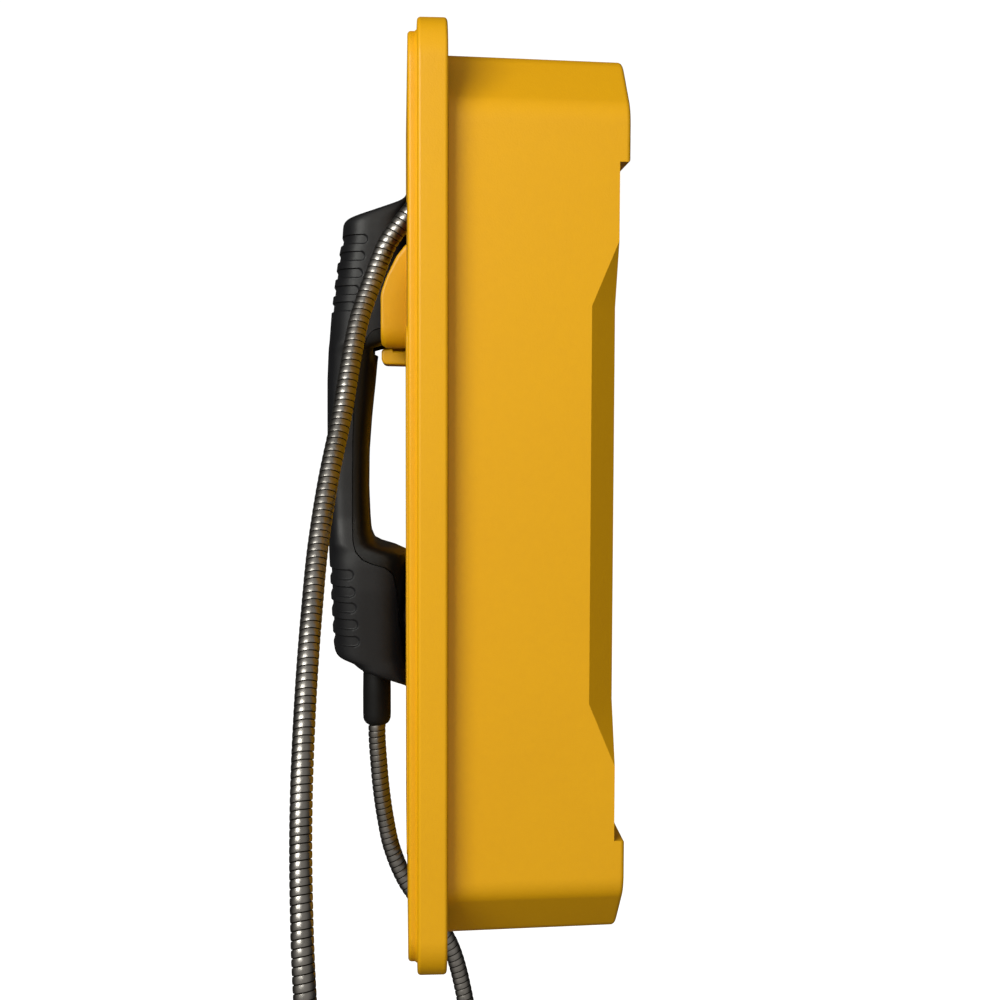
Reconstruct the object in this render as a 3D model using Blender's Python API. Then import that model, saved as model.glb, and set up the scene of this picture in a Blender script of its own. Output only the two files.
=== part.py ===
# Wall-mounted payphone with a corded handset in a cradle.
# Metres, +Z up. The phone faces -Y; the wall is the plane Y = 0.
# World origin: middle of the upper wall rail's rear face. The model is drawn about the phone's own centre
# (X = 0, Z = 0 at the middle of the case), and the empty "phone_centre" places that centre in the world.

import bpy
import bmesh
from math import atan2, cos, pi, radians, sin, sqrt, tan
from mathutils import Vector

# ---- Driving dimensions -------------------------------------------------------------------------

gap = 0.0003                     # between solids that touch in the real phone

# Case: Y positions are measured from the wall
case_depth = 0.0755              # wall to the lip's front face
flange_height = 0.330
flange_width = 0.212
flange_thick = 0.0102
flange_radius = 0.017
lip_step = 0.0032                # how far the lip stands in front of the flange
lip_inset = 0.0046
plate_wall = 0.004               # front plate behind the lip
rim_width = 0.012                # solid border of the cover that meets the gasket

housing_inset = 0.0083           # from the flange's edge to the housing's side
housing_draft = 0.0012           # how much the housing narrows towards its rear
housing_corner = 0.0215          # 45 degree cut across each corner of the housing
housing_blend = 0.010            # rounding at both ends of that cut
housing_wall = 0.004
rail_depth = 0.0037              # wall rails stand proud of the housing's rear face
rail_inner_z = 0.117             # lower edge of the upper rail, from the phone's centre
recess_depth = 0.009             # chamfered recess in the housing's rear side corners
recess_half_full = 0.0685
recess_half_end = 0.0905
gasket_thick = 0.0009
gasket_width = 0.0024
wall_hole_radius = 0.0035
wall_hole_x = 0.065

# Cover screws
screw_inset = 0.0245             # from the flange's edges
screw_radius = 0.0029
screw_head_radius = 0.005
screw_head_depth = 0.0035
screw_length = 0.026
screw_clearance = 0.0004
boss_radius = 0.0060
boss_setback = 0.0005            # bosses stop short of the gasket plane

# Handset tray in the cover, and the cradle
handset_x = -0.050
tray_half_width = 0.033
tray_top_z = 0.1335
tray_bottom_z = -0.107
tray_depth = 0.019
tray_wall = 0.003
tray_radius = 0.012
cheek_inner = 0.0302             # from the handset's middle plane
cheek_thick = 0.0100
cheek_reach = 0.0106             # how far a cheek stands in front of the lip
cheek_top_z = 0.1005
cheek_bottom_z = 0.058

# Hook lever
hook_pivot_y = -0.046
hook_pivot_z = 0.0540
hook_tip_y = -0.0861
hook_thick = 0.0073
hook_half_width = 0.017
hook_hub_radius = 0.0052
hook_pin_radius = 0.0015
hook_pin_clearance = 0.00006
hook_slot_margin = 0.004
bracket_half_width = 0.0245
bracket_plate = 0.0016

# Keypad
keypad_x = 0.050
keypad_half_width = 0.041
keypad_top_z = 0.062
keypad_bottom_z = -0.124
keypad_proud = 0.0005            # panel in front of the lip
keypad_panel_thick = 0.0024
key_size = 0.0140
key_flange = 0.0015              # retaining rim around each key, behind the panel
key_spacing = 0.003              # between two retaining rims
key_rows = 4
key_columns = 3
key_clearance = 0.0003
key_travel = 0.0012
key_sunk = 0.0003                # key face behind the panel's face
keypad_centre_z = -0.030
skirt_wall = 0.002
skirt_depth = 0.0072
mat_thick = 0.0014
board_thick = 0.0016

# Cord and gland
cord_diameter = 0.0076
gland_x = 0.020
gland_exit_y = -0.0692
gland_tilt = radians(38)         # outward lean of the cord where it leaves
gland_wall = 0.0024
gland_headroom = 0.0365          # from the cord's exit up to the housing's inside
gland_length = 0.006
gland_stem_radius = 0.004
gland_stem_length = 0.0208
pocket_half_width = 0.012
pocket_headroom = 0.0105         # from the cord's exit up to the pocket's top
pocket_bottom_z = 0.088

# Handset
handset_wall = 0.0026
cap_front_y = -0.0742            # where the caps meet the handset's body
cap_rear_y = -0.0610
ear_cap_z = 0.093
ear_cap_radius = 0.029
mouth_cap_z = -0.0570
mouth_cap_radius = 0.026
cap_wall = 0.0025
capsule_hole_radius = 0.018
boot_y = -0.0887
boot_top_z = -0.0825
boot_bottom_z = -0.1072
cord_end_gap = 0.0005
boot_wall_top = 0.0025
boot_wall_bottom = 0.0022
boot_bore_clearance = 0.0003

# Boards inside
board_y = -0.020
board_half_width = 0.060
board_half_height = 0.050
post_radius = 0.004
grommet_z = -0.060
grommet_radius = 0.011
terminal_size = (0.040, 0.012, 0.016)
sounder_radius = 0.016
sounder_height = 0.014

# Faces that follow from those sizes
lip_y = -case_depth
flange_y = lip_y + lip_step
flange_rear_y = flange_y + flange_thick
gasket_y = flange_rear_y + gap
housing_front_y = gasket_y + gasket_thick + gap
housing_rear_y = -rail_depth
housing_floor_y = housing_rear_y - housing_wall
half_width = flange_width / 2
half_height = flange_height / 2
housing_half_x = half_width - housing_inset
housing_half_z = half_height - housing_inset
plate_rear_y = lip_y + plate_wall
tray_floor_y = lip_y + tray_depth
tray_back_y = tray_floor_y + tray_wall
key_pitch = key_size + 2 * key_flange + key_spacing
gland_radius = cord_diameter / 2 + gland_wall
gland_exit_z = housing_half_z - housing_wall - housing_draft - gland_headroom
pocket_top_z = gland_exit_z + pocket_headroom
boot_radius_top = cord_diameter / 2 + boot_wall_top
boot_radius_bottom = cord_diameter / 2 + boot_wall_bottom
screw_x = half_width - screw_inset
screw_z = half_height - screw_inset
origin_z = (rail_inner_z + housing_half_z - housing_draft) / 2


# ---- Helpers ------------------------------------------------------------------------------------

def clear_scene():
    for item in list(bpy.data.objects):
        bpy.data.objects.remove(item, do_unlink=True)


def make_material(name, colour, roughness, metallic=0.0):
    material = bpy.data.materials.new(name)
    material.use_nodes = True
    shader = material.node_tree.nodes["Principled BSDF"]
    shader.inputs["Base Color"].default_value = (*colour, 1.0)
    shader.inputs["Roughness"].default_value = roughness
    shader.inputs["Metallic"].default_value = metallic
    return material


finishes = {
    "yellow_paint": ((0.78, 0.42, 0.03), 0.45, 0.0),
    "black_plastic": ((0.018, 0.018, 0.020), 0.42, 0.0),
    "black_rubber": ((0.022, 0.022, 0.022), 0.75, 0.0),
    "steel": ((0.56, 0.55, 0.52), 0.30, 1.0),
    "green_board": ((0.03, 0.16, 0.07), 0.50, 0.0),
    "grey_plastic": ((0.30, 0.31, 0.32), 0.50, 0.0),
}


def rectangle(x0, x1, z0, z1):
    return [(x0, z0), (x1, z0), (x1, z1), (x0, z1)]


def round_corners(corners, radius, steps=5):
    # Each corner becomes an arc; a radius too large for its edges is reduced to fit them
    outline = []
    for index, corner in enumerate(corners):
        here = Vector(corner)
        before = Vector(corners[index - 1]) - here
        after = Vector(corners[(index + 1) % len(corners)]) - here
        half_angle = before.angle(after) / 2
        setback = min(radius / tan(half_angle), 0.48 * min(before.length, after.length))
        arc_radius = setback * tan(half_angle)
        bisector = (before.normalized() + after.normalized()).normalized()
        centre = here + bisector * (arc_radius / sin(half_angle))
        start = here + before.normalized() * setback - centre
        end = here + after.normalized() * setback - centre
        turn = atan2(start.x * end.y - start.y * end.x, start.dot(end))
        for step in range(steps + 1):
            angle = turn * step / steps
            point = centre + Vector((start.x * cos(angle) - start.y * sin(angle),
                                     start.x * sin(angle) + start.y * cos(angle)))
            outline.append((point.x, point.y))
    return outline


def offset_outline(points, distance):
    # Moves every edge of a counter-clockwise outline outwards by the distance
    moved = []
    for index, point in enumerate(points):
        here = Vector(point)
        edge_in = (here - Vector(points[index - 1])).normalized()
        edge_out = (Vector(points[(index + 1) % len(points)]) - here).normalized()
        normal_in = Vector((edge_in.y, -edge_in.x))
        normal_out = Vector((edge_out.y, -edge_out.x))
        shift = (normal_in + normal_out) / (1 + normal_in.dot(normal_out))
        moved.append(tuple(here + shift * distance))
    return moved


def add_object(name, data, finish, origin=(0, 0, 0)):
    item = bpy.data.objects.new(name, data)
    bpy.context.scene.collection.objects.link(item)
    item.parent = phone_centre
    item.location = origin
    if finish:
        data.materials.append(make_material(name, *finishes[finish]))
    else:
        item.hide_render = True
        item.display_type = "WIRE"
    return item


def mesh_object(name, mesh_builder, finish, origin=(0, 0, 0), smooth=None):
    bmesh.ops.recalc_face_normals(mesh_builder, faces=mesh_builder.faces)
    bmesh.ops.translate(mesh_builder, verts=mesh_builder.verts, vec=-Vector(origin))
    mesh = bpy.data.meshes.new(name)
    mesh_builder.to_mesh(mesh)
    mesh_builder.free()
    if smooth is not None:
        mesh.shade_smooth()
        mesh.set_sharp_from_angle(angle=radians(smooth))
    return add_object(name, mesh, finish, origin)


def loft(name, rings, finish=None, origin=(0, 0, 0), smooth=None):
    # Joins rings of equal length and closes both ends
    builder = bmesh.new()
    rows = [[builder.verts.new(point) for point in ring] for ring in rings]
    count = len(rows[0])
    for lower, upper in zip(rows, rows[1:]):
        for index in range(count):
            following = (index + 1) % count
            builder.faces.new((lower[index], lower[following], upper[following], upper[index]))
    builder.faces.new(rows[0])
    builder.faces.new(rows[-1])
    return mesh_object(name, builder, finish, origin, smooth)


def prism_y(name, outline, y0, y1, finish=None, origin=(0, 0, 0)):
    return loft(name, [[(x, y, z) for x, z in outline] for y in (y0, y1)], finish, origin)


def prism_x(name, outline, x0, x1, finish=None, origin=(0, 0, 0)):
    return loft(name, [[(x, y, z) for y, z in outline] for x in (x0, x1)], finish, origin)


def turned(name, profile, centre, axis, finish=None, origin=(0, 0, 0), steps=32):
    # profile holds (radius, distance along the axis); a radius of 0 closes that end on the axis,
    # and a profile that never reaches the axis is closed onto its own start
    centre = Vector(centre)
    axis = Vector(axis).normalized()
    side = axis.orthogonal().normalized()
    other = axis.cross(side)
    builder = bmesh.new()
    rows = []
    for radius, along in profile:
        middle = centre + axis * along
        if radius == 0:
            rows.append([builder.verts.new(middle)])
            continue
        row = []
        for step in range(steps):
            angle = 2 * pi * step / steps
            row.append(builder.verts.new(middle + (side * cos(angle) + other * sin(angle)) * radius))
        rows.append(row)
    pairs = list(zip(rows, rows[1:]))
    if len(rows[0]) > 1 and len(rows[-1]) > 1:
        pairs.append((rows[-1], rows[0]))
    for first, second in pairs:
        for step in range(steps):
            following = (step + 1) % steps
            corners = [first[step % len(first)], first[following % len(first)],
                       second[following % len(second)], second[step % len(second)]]
            builder.faces.new(list(dict.fromkeys(corners)))
    return mesh_object(name, builder, finish, origin, smooth=35)


def rod(name, centre, axis, radius, length, finish=None, steps=24):
    profile = [(0, 0), (radius, 0), (radius, length), (0, length)]
    return turned(name, profile, centre, axis, finish, steps=steps)


def combine(target, other, operation):
    modifier = target.modifiers.new(other.name, "BOOLEAN")
    modifier.operation = operation
    modifier.solver = "EXACT"
    modifier.object = other


def cut(target, other):
    combine(target, other, "DIFFERENCE")


def fuse(target, other):
    combine(target, other, "UNION")


def smooth_route(points, count):
    # Catmull-Rom curve through the points, read at even steps of its parameter
    ends = [2 * points[0] - points[1], *points, 2 * points[-1] - points[-2]]
    route = []
    for step in range(count):
        place = (len(points) - 1) * step / (count - 1)
        index = min(int(place), len(points) - 2)
        t = place - index
        p0, p1, p2, p3 = ends[index:index + 4]
        route.append(0.5 * (2 * p1 + (p2 - p0) * t + (2 * p0 - 5 * p1 + 4 * p2 - p3) * t * t
                            + (3 * p1 - p0 - 3 * p2 + p3) * t * t * t))
    return route


def tube(name, route, radius, finish, resolution=3):
    curve = bpy.data.curves.new(name, "CURVE")
    curve.dimensions = "3D"
    curve.bevel_depth = radius
    curve.bevel_resolution = resolution
    curve.use_fill_caps = True
    spline = curve.splines.new("POLY")
    spline.points.add(len(route) - 1)
    for point, place in zip(spline.points, route):
        point.co = (*place, 1.0)
    return add_object(name, curve, finish)


# ---- Case ---------------------------------------------------------------------------------------

def case_outline(inset, radius, steps=5):
    x = half_width - inset
    z = half_height - inset
    return round_corners(rectangle(-x, x, -z, z), radius, steps)


def cut_corner_outline(x, z, corner, radius, steps=3):
    corners = [(-x, corner - z), (corner - x, -z), (x - corner, -z), (x, corner - z),
               (x, z - corner), (x - corner, z), (corner - x, z), (-x, z - corner)]
    return round_corners(corners, radius, steps)


def housing_outline(inset):
    # The housing's outline moved in from its own side; the cut corners keep their direction
    corner = housing_corner - inset * (2 - sqrt(2))
    return cut_corner_outline(housing_half_x - inset, housing_half_z - inset, corner, housing_blend)


def screw_places():
    return [(x, z) for z in (screw_z, -screw_z) for x in (-screw_x, screw_x)]


def build_rear_housing():
    rings = [[(x, housing_front_y, z) for x, z in housing_outline(0)],
             [(x, 0.0, z) for x, z in housing_outline(housing_draft)]]
    housing = loft("rear_housing", rings, "yellow_paint")

    inset = housing_wall + housing_draft
    corner = housing_corner - inset * (2 - sqrt(2))
    rings = []
    for y, narrowing in ((housing_front_y - 0.01, 0), (housing_floor_y - recess_depth, 0),
                         (housing_floor_y, recess_depth)):
        inside = cut_corner_outline(housing_half_x - inset - narrowing, housing_half_z - inset, corner,
                                    housing_blend - housing_wall)
        rings.append([(px, y, pz) for px, pz in inside])
    cut(housing, loft("housing_inside", rings))

    for number, (x, z) in enumerate(screw_places()):
        start_y = housing_front_y + boss_setback
        fuse(housing, rod(f"housing_boss_{number}", (x, start_y, z), (0, 1, 0), boss_radius,
                          housing_floor_y - start_y + housing_wall / 2, steps=20))
    for number, (x, z) in enumerate(board_posts()):
        post = rod(f"board_post_{number}", (x, board_y + gap, z), (0, 1, 0), post_radius,
                   housing_floor_y - board_y + housing_wall / 2, steps=14)
        fuse(housing, post)

    rail_gap = prism_y("rail_gap", rectangle(-flange_width, flange_width, -rail_inner_z, rail_inner_z),
                       housing_rear_y, 0.01)
    cut(housing, rail_gap)
    for side in (-1, 1):
        cut(housing, side_recess(side))
    for number, (x, z) in enumerate(screw_places()):
        hole = rod(f"boss_hole_{number}", (x, housing_front_y - 0.001, z), (0, 1, 0),
                   screw_radius + screw_clearance, screw_length, steps=18)
        cut(housing, hole)
    middle_z = (rail_inner_z + housing_half_z) / 2
    for number, (x, z) in enumerate([(x, z) for x in (-wall_hole_x, wall_hole_x) for z in (-middle_z, middle_z)]):
        cut(housing, rod(f"wall_hole_{number}", (x, -0.02, z), (0, 1, 0), wall_hole_radius, 0.03, steps=16))
    cut(housing, rod("line_hole", (0, -0.02, grommet_z), (0, 1, 0), grommet_radius - 0.002, 0.03))


def side_recess(side):
    # A wedge that cuts a 45 degree chamfer off the rear side corner, run out at both ends
    corner = Vector((housing_half_x - housing_draft, housing_rear_y))
    reach = 0.006
    overrun = 0.25               # the slope runs on past the corner, so that it leaves it cleanly
    far_end = recess_half_end + overrun * (recess_half_end - recess_half_full)
    outside = -overrun * recess_depth
    rings = []
    for z, depth in ((-far_end, outside), (-recess_half_full, recess_depth),
                     (recess_half_full, recess_depth), (far_end, outside)):
        rings.append([(side * (corner.x + reach), corner.y - depth - reach, z),
                      (side * (corner.x + reach), corner.y + reach, z),
                      (side * (corner.x - depth - reach), corner.y + reach, z)])
    return loft(f"side_recess_{side}", rings)


def build_gasket():
    inset = (housing_wall - gasket_width) / 2
    outer = housing_outline(inset)
    inner = housing_outline(inset + gasket_width)
    ring = prism_y("housing_gasket", outer, gasket_y, gasket_y + gasket_thick, "black_rubber")
    cut(ring, prism_y("gasket_inside", inner, gasket_y - 0.01, gasket_y + 0.01))


def build_front_cover():
    cover = prism_y("front_cover", case_outline(0, flange_radius), flange_y, flange_rear_y, "yellow_paint")
    fuse(cover, prism_y("cover_lip", case_outline(lip_inset, flange_radius - lip_inset), lip_y,
                        flange_y + lip_step))
    inside = case_outline(rim_width, flange_radius - lip_inset)
    cut(cover, prism_y("cover_inside", inside, plate_rear_y, 0))

    for number, (x, z) in enumerate(screw_places()):
        fuse(cover, rod(f"cover_boss_{number}", (x, plate_rear_y - 0.001, z), (0, 1, 0), boss_radius,
                        flange_rear_y - boss_setback - plate_rear_y + 0.001, steps=20))
    x0 = handset_x - tray_half_width
    x1 = handset_x + tray_half_width
    tray = rectangle(x0, x1, tray_bottom_z, tray_top_z)
    pocket = rectangle(gland_x - pocket_half_width, gland_x + pocket_half_width, pocket_bottom_z, pocket_top_z)
    for name, corners, radius in (("tray", tray, tray_radius), ("cord_pocket", pocket, pocket_half_width * 0.9)):
        outer = round_corners(offset_outline(corners, tray_wall), radius + tray_wall)
        fuse(cover, prism_y(f"{name}_wall", outer, plate_rear_y - 0.001, tray_back_y))
        cut(cover, prism_y(f"{name}_hollow", round_corners(corners, radius), lip_y - 0.01, tray_floor_y))
    for side in (-1, 1):
        inner = handset_x + side * cheek_inner
        outer = handset_x + side * (cheek_inner + cheek_thick)
        fuse(cover, prism_x(f"cradle_cheek_{side}", cheek_outline(), min(inner, outer), max(inner, outer)))
    cut(cover, hook_slot("cover_hook_slot", tray_floor_y - 0.004, tray_back_y + 0.001))
    cut(cover, rod("gland_hole", gland_point(-0.002), gland_axis() * -1, gland_stem_radius + 0.0004, 0.03))
    cut_keypad_opening(cover)
    for number, (x, z) in enumerate(screw_places()):
        cut(cover, rod(f"head_pocket_{number}", (x, lip_y - 0.001, z), (0, 1, 0),
                       screw_head_radius + screw_clearance, screw_head_depth + 0.001 + gap * 2, steps=20))
        cut(cover, rod(f"shank_hole_{number}", (x, lip_y, z), (0, 1, 0),
                       screw_radius + screw_clearance, 0.03, steps=16))


def cheek_outline():
    # Side view of a cradle cheek: a slope down from the top, a straight front and a rounded foot
    front = lip_y - cheek_reach
    root = tray_floor_y + tray_wall / 2
    corners = [(root, cheek_bottom_z), (front, cheek_bottom_z), (front, 0.0800), (lip_y - 0.0084, 0.0864),
               (lip_y - 0.0042, 0.0956), (lip_y, cheek_top_z), (root, cheek_top_z)]
    return round_corners(corners, 0.0035, 3)


def build_cover_screws():
    head_y = lip_y + gap
    for number, (x, z) in enumerate(screw_places()):
        profile = [(0, 0), (screw_head_radius, 0), (screw_head_radius, screw_head_depth),
                   (screw_radius, screw_head_depth), (screw_radius, screw_length), (0, screw_length)]
        turned(f"cover_screw_{number + 1}", profile, (x, head_y, z), (0, 1, 0), "steel", steps=16)


# ---- Hook lever ---------------------------------------------------------------------------------

def hook_slot(name, y0, y1):
    half = hook_half_width + hook_slot_margin
    low = hook_pivot_z - hook_thick / 2 - hook_slot_margin
    high = hook_pivot_z + hook_thick / 2 + hook_slot_margin
    return prism_y(name, rectangle(handset_x - half, handset_x + half, low, high), y0, y1)


def build_hook():
    pivot = (handset_x, hook_pivot_y, hook_pivot_z)
    low = hook_pivot_z - hook_thick / 2
    high = hook_pivot_z + hook_thick / 2
    tongue = round_corners([(hook_tip_y, low), (hook_pivot_y, low), (hook_pivot_y, high), (hook_tip_y, high)],
                           0.0022, 4)
    x0 = handset_x - hook_half_width
    x1 = handset_x + hook_half_width
    lever = prism_x("hook_lever", tongue, x0, x1, "yellow_paint", pivot)
    fuse(lever, rod("hook_hub", (x0, hook_pivot_y, hook_pivot_z), (1, 0, 0), hook_hub_radius, x1 - x0))
    tail = [(hook_pivot_y - 0.0015, hook_pivot_z), (hook_pivot_y + 0.0015, hook_pivot_z),
            (hook_pivot_y + 0.0065, hook_pivot_z - 0.018), (hook_pivot_y + 0.0035, hook_pivot_z - 0.019)]
    fuse(lever, prism_x("hook_tail", tail, handset_x - 0.006, handset_x + 0.006))
    cut(lever, rod("hook_bore", (x0 - 0.01, hook_pivot_y, hook_pivot_z), (1, 0, 0),
                   hook_pin_radius + hook_pin_clearance, x1 - x0 + 0.02))

    build_hook_bracket()
    pin_half = bracket_half_width + 0.0015
    rod("hook_pin", (handset_x - pin_half, hook_pivot_y, hook_pivot_z), (1, 0, 0), hook_pin_radius,
        2 * pin_half, "steel")
    build_hook_spring()
    switch_y = hook_pivot_y + 0.0085
    switch_z = hook_pivot_z - 0.026
    prism_x("hook_switch", rectangle(switch_y, switch_y + 0.010, switch_z, switch_z + 0.016),
            handset_x - 0.010, handset_x + 0.010, "black_plastic")


def build_hook_bracket():
    base_y = tray_back_y + gap
    half_z = hook_thick / 2 + hook_slot_margin + 0.004
    base = rectangle(handset_x - bracket_half_width, handset_x + bracket_half_width,
                     hook_pivot_z - half_z, hook_pivot_z + half_z)
    bracket = prism_y("hook_bracket", base, base_y, base_y + bracket_plate, "steel")
    for side in (-1, 1):
        outer = handset_x + side * bracket_half_width
        inner = outer - side * bracket_plate
        ear = rectangle(base_y + bracket_plate / 2, hook_pivot_y + 0.006, hook_pivot_z - 0.007,
                        hook_pivot_z + 0.007)
        fuse(bracket, prism_x(f"bracket_ear_{side}", ear, min(inner, outer), max(inner, outer)))
    cut(bracket, hook_slot("bracket_slot", base_y - 0.001, base_y + bracket_plate + 0.001))
    cut(bracket, rod("bracket_bore", (handset_x - 0.04, hook_pivot_y, hook_pivot_z), (1, 0, 0),
                     hook_pin_radius + hook_pin_clearance, 0.08))


def build_hook_spring():
    # Torsion spring on the pin, between the hub and the right ear, with one straight leg
    wire = 0.0005
    coil_radius = hook_pin_radius + wire + 0.0008
    start_x = handset_x + hook_half_width + 0.0012
    turns = 3
    steps = 12
    route = []
    for step in range(turns * steps + 1):
        angle = 2 * pi * step / steps
        x = start_x + 0.00115 * step / steps
        route.append(Vector((x, hook_pivot_y + coil_radius * sin(angle), hook_pivot_z + coil_radius * cos(angle))))
    route.append(route[-1] + Vector((0, 0.006, 0)))
    tube("hook_spring", route, wire, "steel", resolution=1)


# ---- Keypad -------------------------------------------------------------------------------------

def key_places():
    places = []
    for row in range(key_rows):
        for column in range(key_columns):
            x = keypad_x + (column - (key_columns - 1) / 2) * key_pitch
            z = keypad_centre_z + ((key_rows - 1) / 2 - row) * key_pitch
            places.append((x, z))
    return places


def square(x, z, size, radius, steps=3):
    return round_corners(rectangle(x - size / 2, x + size / 2, z - size / 2, z + size / 2), radius, steps)


def skirt_corners():
    half_x = key_pitch * key_columns / 2 + skirt_wall
    half_z = key_pitch * key_rows / 2 + skirt_wall
    return rectangle(keypad_x - half_x, keypad_x + half_x, keypad_centre_z - half_z, keypad_centre_z + half_z)


def cut_keypad_opening(cover):
    face = rectangle(keypad_x - keypad_half_width, keypad_x + keypad_half_width, keypad_bottom_z, keypad_top_z)
    recess_y = lip_y - keypad_proud + keypad_panel_thick + gap
    cut(cover, prism_y("panel_recess", round_corners(offset_outline(face, gap), 0.006), lip_y - 0.01, recess_y))
    cut(cover, prism_y("panel_opening", offset_outline(skirt_corners(), gap), lip_y, plate_rear_y + 0.001))


def build_keypad():
    face = rectangle(keypad_x - keypad_half_width, keypad_x + keypad_half_width, keypad_bottom_z, keypad_top_z)
    front_y = lip_y - keypad_proud
    rear_y = front_y + keypad_panel_thick
    panel = prism_y("keypad_panel", round_corners(face, 0.006), front_y, rear_y, "yellow_paint")
    skirt_end = rear_y + skirt_depth
    fuse(panel, prism_y("panel_skirt", skirt_corners(), rear_y - 0.001, skirt_end))
    inner = offset_outline(skirt_corners(), -skirt_wall)
    cut(panel, prism_y("skirt_inside", inner, rear_y, skirt_end + 0.001))
    key_face = front_y + key_sunk
    rim_front = rear_y + key_clearance
    rim_rear = rim_front + 0.0016
    for number, (x, z) in enumerate(key_places()):
        hole = square(x, z, key_size + 2 * key_clearance, 0.0023)
        cut(panel, prism_y(f"key_hole_{number}", hole, front_y - 0.001, rear_y + 0.001))
        cap = square(x, z, key_size, 0.002)
        rim = square(x, z, key_size + 2 * key_flange, 0.002)
        rings = [[(x, key_face, z) for x, z in cap], [(x, rim_front, z) for x, z in cap],
                 [(x, rim_front, z) for x, z in rim], [(x, rim_rear, z) for x, z in rim]]
        loft(f"key_{number + 1:02d}", rings, "steel", (x, key_face, z))
    mat_y = rim_rear + key_travel + gap
    mat = offset_outline(inner, -gap)
    prism_y("keypad_mat", mat, mat_y, mat_y + mat_thick, "black_rubber")
    board_front = mat_y + mat_thick + gap
    prism_y("keypad_board", mat, board_front, board_front + board_thick, "green_board")


# ---- Electronics in the housing -----------------------------------------------------------------

def board_posts():
    x = board_half_width - 0.006
    z = board_half_height - 0.006
    return [(x * sx, z * sz) for sx in (-1, 1) for sz in (-1, 1)]


def build_electronics():
    outline = rectangle(-board_half_width, board_half_width, -board_half_height, board_half_height)
    front_y = board_y - board_thick
    prism_y("main_board", outline, front_y, board_y, "green_board")
    width, depth, height = terminal_size
    prism_y("terminal_block", rectangle(-width / 2, width / 2, -board_half_height + 0.004,
                                        -board_half_height + 0.004 + height),
            front_y - gap - depth, front_y - gap, "grey_plastic")
    rod("sounder", (0.034, front_y - gap, 0.022), (0, -1, 0), sounder_radius, sounder_height, "black_plastic",
        steps=28)
    inner = grommet_radius - 0.005
    neck = grommet_radius - 0.002 - gap
    half_wall = housing_wall / 2 + gap
    lips = half_wall + 0.0014
    profile = [(inner, -lips), (grommet_radius, -lips), (grommet_radius, -half_wall), (neck, -half_wall),
               (neck, half_wall), (grommet_radius, half_wall), (grommet_radius, lips), (inner, lips)]
    middle_y = housing_rear_y - housing_wall / 2
    turned("line_grommet", profile, (0, middle_y, grommet_z), (0, 1, 0), "black_rubber", steps=24)


# ---- Handset ------------------------------------------------------------------------------------

# Stations up the handset: height, back face, front face and half width
handset_stations = [
    (-0.0874, -0.0757, cap_front_y - gap, 0.016), (-0.0858, -0.0790, cap_front_y - gap, 0.021),
    (-0.0843, -0.0832, cap_front_y - gap, 0.0232), (-0.0821, -0.0895, cap_front_y - gap, 0.0243),
    (-0.0801, -0.0951, cap_front_y - gap, 0.0249), (-0.0786, -0.0975, cap_front_y - gap, 0.025),
    (-0.0775, -0.0988, cap_front_y - gap, 0.025), (-0.0761, -0.1000, cap_front_y - gap, 0.025),
    (-0.0746, -0.1042, cap_front_y - gap, 0.025), (-0.0726, -0.1062, cap_front_y - gap, 0.025),
    (-0.0700, -0.1072, cap_front_y - gap, 0.025), (-0.0600, -0.1080, cap_front_y - gap, 0.025),
    (-0.0450, -0.1087, cap_front_y - gap, 0.025), (-0.0340, -0.1091, cap_front_y - gap, 0.0245),
    (-0.0282, -0.1093, cap_front_y - gap, 0.024), (-0.0262, -0.1093, -0.0795, 0.0235),
    (-0.0240, -0.1094, -0.0880, 0.023), (-0.0190, -0.1095, -0.0904, 0.022),
    (-0.0130, -0.1096, -0.0909, 0.0205), (-0.0020, -0.1097, -0.0916, 0.0195),
    (0.0140, -0.1098, -0.0914, 0.019), (0.0300, -0.1098, -0.0902, 0.0195),
    (0.0450, -0.1097, -0.0886, 0.021), (0.0560, -0.1092, -0.0876, 0.023),
    (0.0590, -0.1090, -0.0866, 0.024), (0.0605, -0.1088, -0.0805, 0.025),
    (0.0615, -0.1087, cap_front_y - gap, 0.0255), (0.0742, -0.1077, cap_front_y - gap, 0.026),
    (0.0836, -0.1066, cap_front_y - gap, 0.026), (0.0950, -0.1050, cap_front_y - gap, 0.026),
    (0.1049, -0.1030, cap_front_y - gap, 0.026), (0.1110, -0.1026, cap_front_y - gap, 0.0258),
    (0.1128, -0.1014, cap_front_y - gap, 0.0255), (0.1138, -0.0994, cap_front_y - gap, 0.0253),
    (0.1154, -0.0944, cap_front_y - gap, 0.025), (0.1172, -0.0888, cap_front_y - gap, 0.0245),
    (0.1190, -0.0832, cap_front_y - gap, 0.0235), (0.1204, -0.0790, cap_front_y - gap, 0.022),
    (0.1220, -0.0768, cap_front_y - gap, 0.019), (0.1236, -0.0757, cap_front_y - gap, 0.016),
]


def station_at(z):
    # Back, front and half width at a height, read between the stations
    if z <= handset_stations[0][0]:
        return handset_stations[0][1:]
    for lower, upper in zip(handset_stations, handset_stations[1:]):
        if z <= upper[0]:
            share = (z - lower[0]) / (upper[0] - lower[0])
            return [a + (b - a) * share for a, b in zip(lower[1:], upper[1:])]
    return handset_stations[-1][1:]


def handset_ring(z, back, front, half, sides=22, squareness=3.6):
    ring = []
    middle = (back + front) / 2
    for step in range(sides):
        angle = 2 * pi * (step + 0.5) / sides
        across = abs(cos(angle)) ** (2 / squareness) * (1 if cos(angle) > 0 else -1)
        along = abs(sin(angle)) ** (2 / squareness) * (1 if sin(angle) > 0 else -1)
        ring.append((handset_x + half * across, middle + (front - back) / 2 * along, z))
    return ring


def handset_solid(name, finish, origin):
    return loft(name, [handset_ring(*station) for station in handset_stations], finish, origin, smooth=40)


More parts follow.
